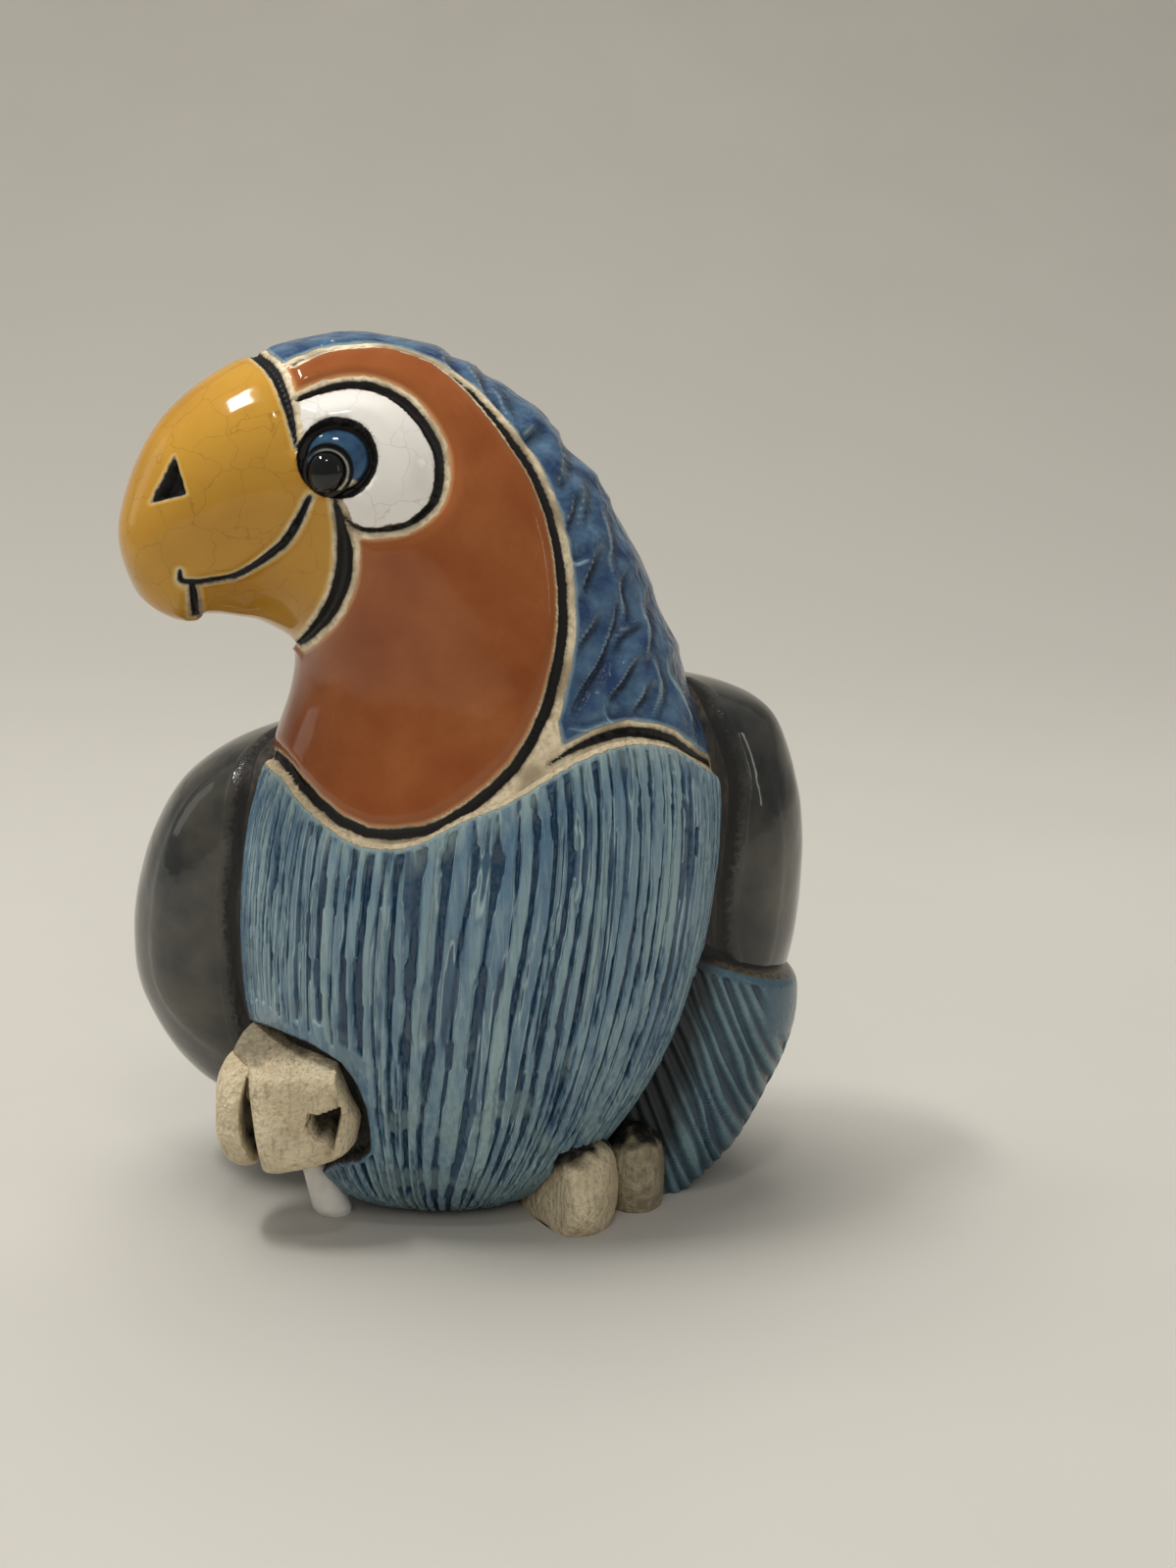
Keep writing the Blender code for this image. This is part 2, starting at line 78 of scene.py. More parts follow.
# Sections of the trunk: left x and z, right x and z, middle y, half depth and squareness
STATIONS = np.array([
    (-8.6, 0.0, 3.0, 0.0, 5.0, 5.6, 2.1),
    (-13.8, 2.6, 8.2, 3.0, 4.8, 10.0, 2.2),
    (-16.9, 8.5, 12.9, 9.0, 4.6, 13.0, 2.3),
    (-18.5, 16.0, 16.4, 16.0, 4.5, 15.0, 2.3),
    (-18.9, 24.0, 18.5, 24.0, 4.5, 16.0, 2.3),
    (-18.1, 32.0, 19.3, 32.0, 4.5, 15.8, 2.3),
    (-16.2, 38.2, 18.8, 38.0, 4.4, 15.0, 2.2),
    (-14.6, 42.8, 17.2, 43.6, 4.1, 14.2, 2.1),
    (-14.2, 45.8, 14.4, 50.4, 3.6, 13.6, 2.0),
    (-14.9, 47.0, 9.5, 60.0, 3.0, 13.0, 2.0),
    (-15.9, 47.9, 1.5, 68.0, 2.0, 12.2, 2.0),
    (-17.0, 48.7, -8.0, 71.0, 0.6, 11.2, 2.0),
    (-18.2, 49.2, -16.4, 69.6, -1.0, 10.0, 2.0),
    (-19.5, 49.6, -23.1, 65.1, -2.5, 8.5, 2.0),
    (-20.6, 49.7, -26.6, 57.9, -3.5, 6.4, 2.0),
    (-21.7, 49.6, -25.9, 52.6, -4.0, 3.6, 2.0),
    (-23.0, 49.8, -23.4, 50.0, -4.0, 0.3, 2.0),
])

# Outlines on the elevation: x and z where a sight line crosses the plane Y = 0
EYE_EDGE = (
    (-10.0, 56.9), (-9.3, 56.2), (-7.9, 55.9), (-5.9, 56.1), (-4.3, 56.9), (-3.1, 58.2), (-2.6, 59.8),
    (-2.6, 61.7), (-3.4, 63.5), (-4.7, 65.3), (-6.3, 66.5), (-8.1, 67.1), (-9.9, 67.2), (-11.9, 66.7),
    (-13.5, 66.1),
)
EYE_LEFT = ((-14.0, 64.4), (-13.7, 62.5), (-13.4, 60.6), (-11.6, 59.0), (-10.4, 58.1))
BEAK_LINE = ((-17.2, 70.4), (-16.4, 69.2), (-15.2, 67.9), (-14.5, 66.3), (-14.0, 64.4), (-13.8, 62.5))
MOUTH = (
    (-12.8, 58.5), (-13.9, 56.3), (-15.2, 54.6), (-17.2, 53.1), (-19.1, 52.2), (-21.5, 51.8), (-22.9, 51.9),
    (-23.1, 52.7),
)
HOOK = ((-22.2, 51.6), (-22.0, 50.5), (-21.9, 49.2))
JAW = (
    (-10.8, 58.3), (-10.3, 56.0), (-10.1, 54.1), (-10.4, 51.8), (-11.4, 49.5), (-12.7, 47.9), (-13.9, 46.9),
)
FACE_EDGE = (
    (-13.7, 68.3), (-11.4, 69.3), (-9.1, 69.6), (-6.5, 69.6), (-3.3, 68.6), (-1.4, 67.3), (0.3, 65.7),
    (2.4, 63.1), (4.6, 59.6), (5.9, 56.0), (6.5, 52.2), (6.6, 48.2), (6.0, 44.3), (4.8, 40.6), (2.8, 37.2),
    (-0.5, 34.1), (-3.8, 32.3), (-6.5, 31.8), (-9.2, 32.2), (-11.7, 33.8), (-13.7, 35.9), (-14.9, 37.5),
    (-16.0, 38.6),
)
BIB_START = 15
COLLAR = ((5.7, 37.1), (7.8, 38.4), (10.4, 39.4), (12.7, 39.8), (15.4, 39.3), (17.3, 38.1), (18.8, 37.1))
CORNER = ((1.6, 33.8), (4.0, 35.5), (5.2, 37.2), (6.1, 38.7), (6.5, 40.6))
EYE_CENTRE = (-7.6, 61.3)
IRIS_CENTRE = (-10.6, 61.5)
NOSTRIL = ((-23.1, 61.6), (-25.1, 58.0), (-22.3, 58.7))
JAW_POOL = (-18.0, 51.0)
RECESS = (
    (-19.3, 16.4), (-17.9, 16.0), (-16.4, 15.5), (-15.0, 14.9), (-13.8, 14.4), (-12.6, 13.7), (-10.9, 12.5),
    (-9.6, 10.5), (-9.0, 8.8), (-8.7, 6.8), (-8.7, 5.0), (-9.5, 4.2), (-11.6, 3.8), (-13.0, 2.9),
    (-16.0, 2.8), (-20.0, 4.1), (-21.6, 10.0), (-20.8, 15.0),
)
NOTCH = (
    (-14.2, 7.4), (-13.1, 7.6), (-11.4, 8.3), (-11.4, 7.5), (-11.7, 6.1), (-12.0, 4.8), (-12.5, 5.4),
    (-13.3, 5.4), (-13.9, 6.5),
)
SLIT = (
    (-19.0, 10.9), (-18.8, 10.5), (-18.4, 8.1), (-18.0, 6.6), (-17.6, 5.1), (-17.4, 3.6), (-18.8, 3.9),
    (-19.5, 5.1), (-19.7, 6.8), (-19.6, 8.5), (-19.3, 9.8),
)
CREAM_CHIP = ((24.1, 18.9), (25.1, 18.3))
# Strokes of the crest: how deep each is cut, then its line from top to bottom
STROKES = (
    (0.35, ((-2.2, 70.2), (-1.7, 69.2), (-0.8, 68.1), (0.2, 67.3))),
    (0.45, ((-0.2, 69.3), (0.7, 68.1), (1.2, 67.0), (1.4, 65.9))),
    (0.35, ((1.8, 67.7), (2.7, 66.4), (3.3, 65.1), (3.5, 63.9))),
    (0.4, ((1.3, 66.8), (1.9, 65.8), (2.6, 65.0), (3.0, 64.2))),
    (0.45, ((5.8, 64.1), (5.0, 63.6), (4.1, 63.1), (3.5, 63.3))),
    (0.5, ((6.9, 63.4), (7.4, 61.9), (7.3, 60.3), (6.7, 59.0))),
    (0.35, ((7.7, 62.8), (7.8, 61.3), (7.7, 59.8))),
    (0.4, ((8.8, 59.8), (9.2, 58.4), (9.0, 57.1), (8.7, 56.0))),
    (0.55, ((8.1, 59.0), (8.2, 57.7), (7.7, 56.6), (7.0, 55.3))),
    (0.35, ((10.5, 58.4), (11.0, 56.3), (11.3, 54.4), (11.5, 51.9))),
    (0.65, ((10.1, 54.7), (9.8, 53.3), (9.3, 52.1), (8.7, 50.9))),
    (0.5, ((10.0, 49.3), (9.6, 48.2), (8.9, 47.3), (8.2, 46.3))),
    (0.7, ((11.4, 50.9), (11.4, 48.8), (10.9, 47.0), (9.9, 44.9), (8.8, 43.2), (7.6, 41.1))),
    (0.5, ((12.2, 53.0), (11.9, 51.3), (12.3, 49.6), (12.1, 48.1))),
    (0.55, ((13.5, 48.7), (12.6, 48.1), (11.8, 47.3), (11.2, 46.0))),
    (0.4, ((13.7, 51.5), (13.9, 49.8), (14.3, 48.1), (14.2, 46.5), (13.6, 44.9))),
    (0.65, ((13.3, 46.0), (12.6, 44.8), (11.8, 43.5), (10.6, 42.2))),
    (0.55, ((14.0, 44.0), (13.8, 42.9), (13.3, 42.1), (12.6, 41.3))),
    (0.35, ((15.8, 46.5), (16.0, 44.9), (16.8, 43.2), (17.5, 41.1), (17.7, 39.4))),
    (0.4, ((14.6, 47.0), (14.9, 45.1), (15.3, 43.5), (15.1, 42.2), (14.3, 40.5))),
    (0.3, ((7.2, 40.5), (8.7, 40.3), (9.9, 40.6), (10.7, 41.1))),
    (0.35, ((10.6, 42.5), (10.8, 41.1), (12.0, 40.6), (12.9, 41.4))),
    (0.3, ((7.7, 54.7), (8.0, 53.6), (8.9, 54.0))),
)


def srgb(*channels: int) -> Colour:
    """A screen colour, 0 to 255 a channel, as the linear colour that a shader takes, by the sRGB curve."""
    shares = [value / 255 for value in channels]
    return *(share / 12.92 if share <= 0.04045 else ((share + 0.055) / 1.055) ** 2.4 for share in shares), 1.0


# Numbers over arrays


def through(rows: Array, at: Array) -> Array:
    """A smooth curve through the rows: a Catmull-Rom spline.

    Args:
        rows: The values to pass through, one row each.
        at: Fractional row numbers.

    Returns:
        The values there.
    """
    at = np.clip(at, 0, len(rows) - 1 - 1e-9)
    first = np.floor(at).astype(int)
    part = (at - first)[..., None]
    before, start, end, after = (rows[np.clip(first + step, 0, len(rows) - 1)] for step in (-1, 0, 1, 2))
    return start + 0.5 * part * (
        end - before
        + part * (2 * before - 5 * start + 4 * end - after + part * (3 * (start - end) + after - before))
    )


def rounded(angle: Array, squareness: Array | float) -> tuple[Array, Array]:
    """Cosine and sine of a superellipse: each raised to 2 over the squareness, with its sign kept."""
    sides = np.cos(angle), np.sin(angle)
    across, along = (np.sign(side) * np.abs(side) ** (2 / squareness) for side in sides)
    return across, along


def ease(value: Array, low: Array | float, high: Array | float) -> Array:
    """0 below low, 1 above high, and 3t squared less 2t cubed between."""
    share = np.clip((value - low) / (high - low), 0, 1)
    return share * share * (3 - 2 * share)


def fall(value: Array, low: float, high: float) -> Array:
    """1 below low and 0 above high, eased between."""
    return ease(-value, -high, -low)


def hill(value: Array, middle: float, width: Array | float) -> Array:
    """A bell: e to less the square of the distance from its middle over its width."""
    return np.exp(-(((value - middle) / width) ** 2))


def ends(phase: Array) -> Array:
    """0 in the middle of each whole step and 1 at both ends of it."""
    return np.abs(2 * (phase - np.floor(phase)) - 1)


def around(columns: int) -> Array:
    """Angles evenly round a circle, in one row."""
    return np.arange(columns)[None, :] * 2 * math.pi / columns


def run_along(points: Array, axis: int) -> Array:
    """How far each point is from the first one along this axis of the grid: the sum of the steps between."""
    steps = np.cumsum(np.linalg.norm(np.diff(points, axis=axis), axis=-1), axis=axis)
    return np.insert(steps, 0, 0.0, axis=axis)


def lattice(cell: Array, seed: int) -> Array:
    """A fixed number for each whole-number cell, by multiplying and folding its bits.

    Args:
        cell: Cells, with up to three coordinates last.
        seed: Which numbers.

    Returns:
        Numbers from 0 to 1.
    """
    mixed = (cell * np.array([374761393, 668265263, 1274126177][: cell.shape[-1]])).sum(-1) + seed * 974634777
    mixed &= 0xFFFFFFFF
    mixed = ((mixed ^ (mixed >> 13)) * 1103515245) & 0xFFFFFFFF
    mixed = ((mixed ^ (mixed >> 16)) * 69069) & 0xFFFFFFFF
    return (mixed ^ (mixed >> 15)) / 0xFFFFFFFF


def picked(number: Array, row: int, seed: int) -> Array:
    """One fixed number from 0 to 1 for each flute or groove, by its own number."""
    return lattice(np.stack([number, np.full_like(number, row)], -1).astype(np.int64), seed)


def noise(points: Array, pitch: float | Sequence[float], seed: int) -> Array:
    """Smooth noise: eased weights between the fixed numbers of the corners of each cell.

    Args:
        points: Places, with the coordinates last.
        pitch: A cell's size, or its size along each coordinate.
        seed: Which noise.

    Returns:
        A value from -1 to 1 for each place.
    """
    place = points / np.asarray(pitch)
    cell = np.floor(place).astype(np.int64)
    part = place - cell
    part = part * part * (3 - 2 * part)
    total = np.zeros(points.shape[:-1])
    axes = points.shape[-1]
    for corner in range(2**axes):
        step = np.array([corner >> axis & 1 for axis in range(axes)])
        total += np.where(step, part, 1 - part).prod(-1) * lattice(cell + step, seed)
    return total * 2 - 1


def rumple(points: Array, pitch: float, seed: int) -> Array:
    """Noise on noise: three layers, each half the pitch and height of the last, over their summed heights."""
    return sum(noise(points, pitch / 2**layer, seed + layer) / 2**layer for layer in range(3)) / 1.75


def near_line(points: Array, line: Array, reach: float) -> Array:
    """The numbers of the points that lie in the line's box, grown by the reach."""
    return np.flatnonzero(np.all((points > line.min(0) - reach) & (points < line.max(0) + reach), axis=1))


def foot_on(points: Array, start: Array, end: Array) -> tuple[Array, Array]:
    """The foot of each point's perpendicular on one stretch of a line, held between its ends.

    Args:
        points: Places, n by k.
        start: The stretch's first point.
        end: Its last.

    Returns:
        The foot's share of the way, and the offset from the foot to the point.
    """
    run = end - start
    share = np.clip((points - start) @ run / max(run @ run, 1e-12), 0, 1)
    return share, points - start - share[:, None] * run


def gap_to(points: Array, line: Array, widths: Array, reach: float) -> Array:
    """The least distance from each point to a line's stretches, less the line's half width there.

    Args:
        points: Places, n by k.
        line: Points along the line, m by k.
        widths: The line's half width at each.
        reach: The largest distance that matters.

    Returns:
        The gap for each point, negative inside the line.
    """
    result = np.full(len(points), reach)
    near = near_line(points, line, reach)
    found, chosen = result[near], points[near]
    for start, end, low, high in zip(line[:-1], line[1:], widths[:-1], widths[1:]):
        share, offset = foot_on(chosen, start, end)
        found = np.minimum(found, np.linalg.norm(offset, axis=1) - (low + (high - low) * share))
    result[near] = found
    return result


def offset_from(points: Array, line: Array, reach: float) -> tuple[Array, Array]:
    """How far each point is to the left of a line's way and how far along the line its foot is.

    Args:
        points: Places, n by 2.
        line: Points along the line, m by 2.
        reach: The largest distance that matters.

    Returns:
        Signed distances, and shares of the line from 0 to 1.
    """
    signed, along = np.full(len(points), reach), np.zeros(len(points))
    near = near_line(points, line, reach)
    found, chosen = signed[near], points[near]
    for number, (start, end) in enumerate(zip(line[:-1], line[1:])):
        share, offset = foot_on(chosen, start, end)
        gap = np.linalg.norm(offset, axis=1)
        closer = gap < found
        found = np.where(closer, gap, found)
        left = (end - start)[0] * offset[:, 1] - (end - start)[1] * offset[:, 0]
        signed[near[closer]] = np.where(left < 0, -gap, gap)[closer]
        along[near[closer]] = (number + share[closer]) / (len(line) - 1)
    return signed, along


def inside(places: Array, outline: Array) -> Array:
    """Which places lie in an outline: those that an odd number of its edges lies to the right of.

    Args:
        places: Places on the elevation, with x and z last.
        outline: The outline's corners in order.

    Returns:
        True for each place inside.
    """
    x, z = places[..., 0], places[..., 1]
    result = np.zeros(x.shape, bool)
    for (x0, z0), (x1, z1) in zip(outline, np.roll(outline, -1, axis=0)):
        if z0 != z1:
            result ^= ((z0 > z) != (z1 > z)) & (x < (x1 - x0) * (z - z0) / (z1 - z0) + x0)
    return result


def flat_gap(places: Array, corners: Outline, reach: float = 4.0) -> Array:
    """Distance to a closed outline on the elevation.

    Args:
        places: Places on the elevation, with x and z last.
        corners: The outline's corners in order.
        reach: The largest distance that matters.

    Returns:
        The distance of each place, negative inside the outline.
    """
    closed = np.array([*corners, corners[0]])
    flat = places.reshape(-1, 2)
    gap = gap_to(flat, closed, np.zeros(len(closed)), reach)
    return np.where(inside(flat, closed[:-1]), -gap, gap).reshape(places.shape[:-1])


def curve_through(outline: Outline, steps: int = 8) -> Array:
    """The outline as a smooth curve with this many steps between its points."""
    rows = np.array(outline, float)
    return through(rows, np.linspace(0, len(rows) - 1, (len(rows) - 1) * steps + 1))


def widened(outline: Outline, distance: float) -> Array:
    """The outline moved sideways.

    Args:
        outline: Its points in order.
        distance: How far to the left of the way it runs.

    Returns:
        Points of a smooth curve, four for each step of the outline.
    """
    points = curve_through(outline, 4)
    run = np.gradient(points, axis=0)
    run /= np.linalg.norm(run, axis=1, keepdims=True)
    return points + distance * np.stack([-run[:, 1], run[:, 0]], -1)


def sight(points: Array) -> Array:
    """Where the sight line through each point crosses the plane Y = 0, as x and z."""
    share = -EYE_POINT[1] / (points[..., 1] - EYE_POINT[1])
    return (EYE_POINT + (points - EYE_POINT) * share[..., None])[..., ::2]


# The trunk's surface


@dataclass(frozen=True)
class Trunk:
    """The surface that the bird is carved on: sections between a left and a right point of its outline."""

    stations: Array = field(default_factory=lambda: STATIONS)

    @property
    def last(self) -> int:
        """The station of the beak's tip."""
        return len(self.stations) - 1

    def surface(self, station: Array, turn: Array) -> Array:
        """Points: the middle of the section plus its half width and half depth times a superellipse.

        Args:
            station: How far along the trunk.
            turn: How far round it, in degrees.

        Returns:
            Points in drawn millimetres.
        """
        station, turn = np.broadcast_arrays(np.asarray(station, float), np.asarray(turn, float))
        rows = np.moveaxis(through(self.stations, station), -1, 0)
        left_x, left_z, right_x, right_z, depth_y, half_depth, square = rows
        across, forward = rounded(np.radians(turn), square)
        x = (left_x + right_x + (right_x - left_x) * across) / 2
        z = (left_z + right_z + (right_z - left_z) * across) / 2
        return np.stack([x, depth_y - half_depth * forward, z], -1)

    def laid(self, station: Array, turn: Array) -> tuple[Array, Array]:
        """Points and the way out of the surface: the cross product of its slopes along and around.

        Args:
            station: How far along the trunk.
            turn: How far round it, in degrees.

        Returns:
            Points and unit normals.
        """
        along = self.surface(station + 0.02, turn) - self.surface(station - 0.02, turn)
        out = np.cross(along, self.surface(station, turn + 0.5) - self.surface(station, turn - 0.5))
        size = np.maximum(np.linalg.norm(out, axis=-1, keepdims=True), 1e-12)
        return self.surface(station, turn), out / size

    def locate(self, outline: Outline) -> Array:
        """Where each outline point lies on the near side, by the nearest of many sight lines.

        Args:
            outline: Points on the elevation.

        Returns:
            Station and turn of each.
        """
        stations, turns = np.linspace(0.3, self.last - 0.02, 900), np.linspace(0, 180, 721)
        station, turn = np.meshgrid(stations, turns, indexing="ij")
        seen = sight(self.surface(station, turn))
        found = [np.argmin(((seen - place) ** 2).sum(-1)) for place in np.array(outline, float)]
        return np.stack([station.flat[found], turn.flat[found]], -1)


@dataclass(frozen=True)
class CarvedLine:
    """A line cut with a gouge on both cheeks, stained black, with bare clay beside it.

    Attributes:
        outline: Its centre on the elevation.
        widths: Half widths at even steps along it.
        clay: Width of the bare clay beside it, inside and outside the region that it bounds.
        bounds: The region, if it bounds one.
        far: Whether the far cheek has it too.
        stained: Whether it is cut and stained, or only left bare.
    """

    outline: Outline
    widths: tuple[float, ...]
    clay: tuple[float, float]
    bounds: str = ""
    far: bool = True
    stained: bool = True

    def traced(self, trunk: Trunk, side: int) -> tuple[Array, Array]:
        """The line on the trunk.

        Args:
            trunk: The surface that carries it.
            side: 1 for the near cheek, -1 for the far one.

        Returns:
            Points along it and its half width at each.
        """
        knots = trunk.locate(self.outline)
        knots = through(knots, np.linspace(0, len(knots) - 1, 6 * len(knots)))
        widths = np.interp(np.linspace(0, 1, len(knots)), np.linspace(0, 1, len(self.widths)), self.widths)
        return trunk.surface(knots[:, 0], side * knots[:, 1]), widths


# Shader nodes


class Wire:
    """A socket whose sums, products and comparisons add Math nodes to its material."""

    def __init__(self, bench: Bench, socket: bpy.types.NodeSocket) -> None:
        """Holds the socket and the material that it belongs to."""
        self.bench = bench
        self.socket = socket

    def _math(self, operation: str, first: Any, second: Any) -> Wire:
        """One Math node on two values."""
        node = self.bench.node("ShaderNodeMath", {"operation": operation}, {0: first, 1: second})
        return Wire(self.bench, node.outputs[0])

    def __add__(self, other: Wire | float) -> Wire:
        """This plus another."""
        return self._math("ADD", self, other)

    def __sub__(self, other: Wire | float) -> Wire:
        """This less another."""
        return self._math("SUBTRACT", self, other)

    def __rsub__(self, other: float) -> Wire:
        """A number less this."""
        return self._math("SUBTRACT", other, self)

    def __mul__(self, other: Wire | float) -> Wire:
        """This times another."""
        return self._math("MULTIPLY", self, other)

    __radd__ = __add__
    __rmul__ = __mul__

    def most(self, other: Wire | float) -> Wire:
        """The larger of the two."""
        return self._math("MAXIMUM", self, other)

    def ramp(self, low: float, high: float) -> Wire:
        """0 at low and 1 at high, straight between and held beyond. High may be the smaller."""
        reads = {"Value": self, "From Min": low, "From Max": high}
        return Wire(self.bench, self.bench.node("ShaderNodeMapRange", {"clamp": True}, reads).outputs[0])


class Bench:
    """The nodes of one material."""

    def __init__(self, name: str) -> None:
        """Starts the material with its shader and output.

        Args:
            name: The material's name.
        """
        self.material = bpy.data.materials.new(name)
        self.material.use_nodes = True
        self.tree = self.material.node_tree
        self.tree.nodes.clear()
        self.shader = self.node("ShaderNodeBsdfPrincipled", {}, {})
        self.node("ShaderNodeOutputMaterial", {}, {"Surface": self.shader.outputs[0]})

    def node(self, kind: str, settings: dict[str, Any], inputs: dict[Any, Any]) -> bpy.types.Node:
        """One node.

        Args:
            kind: Its type.
            settings: Its own settings, set first.
            inputs: A value or a link for each of its sockets.

        Returns:
            The node.
        """
        made = self.tree.nodes.new(kind)
        for name, value in settings.items():
            setattr(made, name, value)
        for name, value in inputs.items():
            self.feed(made.inputs[name], value)
        return made

    def feed(self, socket: bpy.types.NodeSocket, value: Any) -> None:
        """Links a wire or a socket to this socket, or sets its value.

        Args:
            socket: The socket to feed.
            value: A wire, a socket, a number, a colour or a named clay.
        """
        value = value.socket if isinstance(value, Wire) else value.value if isinstance(value, Clay) else value
        if isinstance(value, bpy.types.NodeSocket):
            self.tree.links.new(value, socket)
        else:
            socket.default_value = value

    def finish(self, **inputs: Any) -> bpy.types.Material:
        """Feeds the shader's sockets and gives the material.

        Args:
            inputs: Values by the sockets' names, with underscores for spaces.

        Returns:
            The finished material.
        """
        for name, value in inputs.items():
            self.feed(self.shader.inputs[name.replace("_", " ")], value)
        return self.material

    def measure(self, name: str) -> Wire:
        """A number that the piece carries on its points."""
        return Wire(self, self.node("ShaderNodeAttribute", {"attribute_name": name}, {}).outputs["Fac"])

    def frayed(self, name: str, grain: Wire, height: float) -> Wire:
        """A number that the piece carries, made ragged by this height of a grain."""
        return self.measure(name) + (grain - 0.5) * height

    def place(self, stretch: Sequence[float] = (1.0, 1.0, 1.0)) -> bpy.types.NodeSocket:
        """Object coordinates in millimetres.

        Args:
            stretch: What each is multiplied by.

        Returns:
            The mapping's socket.
        """
        reads = {
            "Vector": self.node("ShaderNodeTexCoord", {}, {}).outputs["Object"],
            "Scale": [value / MILLIMETRE for value in stretch],
        }
        return self.node("ShaderNodeMapping", {}, reads).outputs[0]

    def grain(self, pitch: float, detail: float = 3.0, upright: float = 1.0) -> Wire:
        """Noise from 0 to 1 with its middle at a half.

        Args:
            pitch: Its size in millimetres.
            detail: How many finer layers it has.
            upright: How fast it changes with height. Below 1 it is drawn out upwards.

        Returns:
            The noise.
        """
        reads = {"Vector": self.place((1.0, 1.0, upright)), "Scale": 1 / pitch, "Detail": detail}
        return Wire(self, self.node("ShaderNodeTexNoise", {}, reads).outputs["Fac"])

    def crackle(self, pitch: float, width: float) -> Wire:
        """The fine cracks between cells, on coordinates bent by noise.

        Args:
            pitch: The size of a cell.
            width: The width of a crack.

        Returns:
            1 on the cracks and 0 elsewhere.
        """
        bend = self.node("ShaderNodeTexNoise", {}, {"Vector": self.place(), "Scale": 0.6, "Detail": 2.0})
        reads = {0: bend.outputs["Color"], 1: (1.6, 1.6, 1.6), 2: self.place()}
        bent = self.node("ShaderNodeVectorMath", {"operation": "MULTIPLY_ADD"}, reads)
        reads = {"Vector": bent.outputs[0], "Scale": 1 / pitch}
        cells = self.node("ShaderNodeTexVoronoi", {"feature": "DISTANCE_TO_EDGE"}, reads)
        return Wire(self, cells.outputs["Distance"]).ramp(width / pitch, 0.0)

    def coats(self, base: Any, *coats: tuple[Wire, Any]) -> Any:
        """Colours laid over each other.

        Args:
            base: The first colour.
            coats: For each next one, where it covers, from 0 to 1, and the colour.

        Returns:
            The colour of all.
        """
        for cover, colour in coats:
            mix = self.node("ShaderNodeMix", {"data_type": "RGBA"}, {0: cover, 6: base, 7: colour})
            base = mix.outputs[2]
        return base

    def bumps(self, height: Wire, depth: float) -> bpy.types.NodeSocket:
        """Normals of a height from 0 to 1 that stands for this many millimetres."""
        reads = {"Height": height, "Distance": depth * MILLIMETRE, "Strength": 1.0}
        return self.node("ShaderNodeBump", {}, reads).outputs[0]


# Finishes


class Clay(Enum):
    """The colours of the clay and of the black stain rubbed into its cuts."""

    CREAM = srgb(234, 219, 188)
    TAN = srgb(204, 186, 152)
    STAIN = srgb(24, 22, 20)
    # Umber also paints the trunk's underside and flank strips, partly as stain and partly as painted shade
    UMBER = srgb(62, 52, 42)


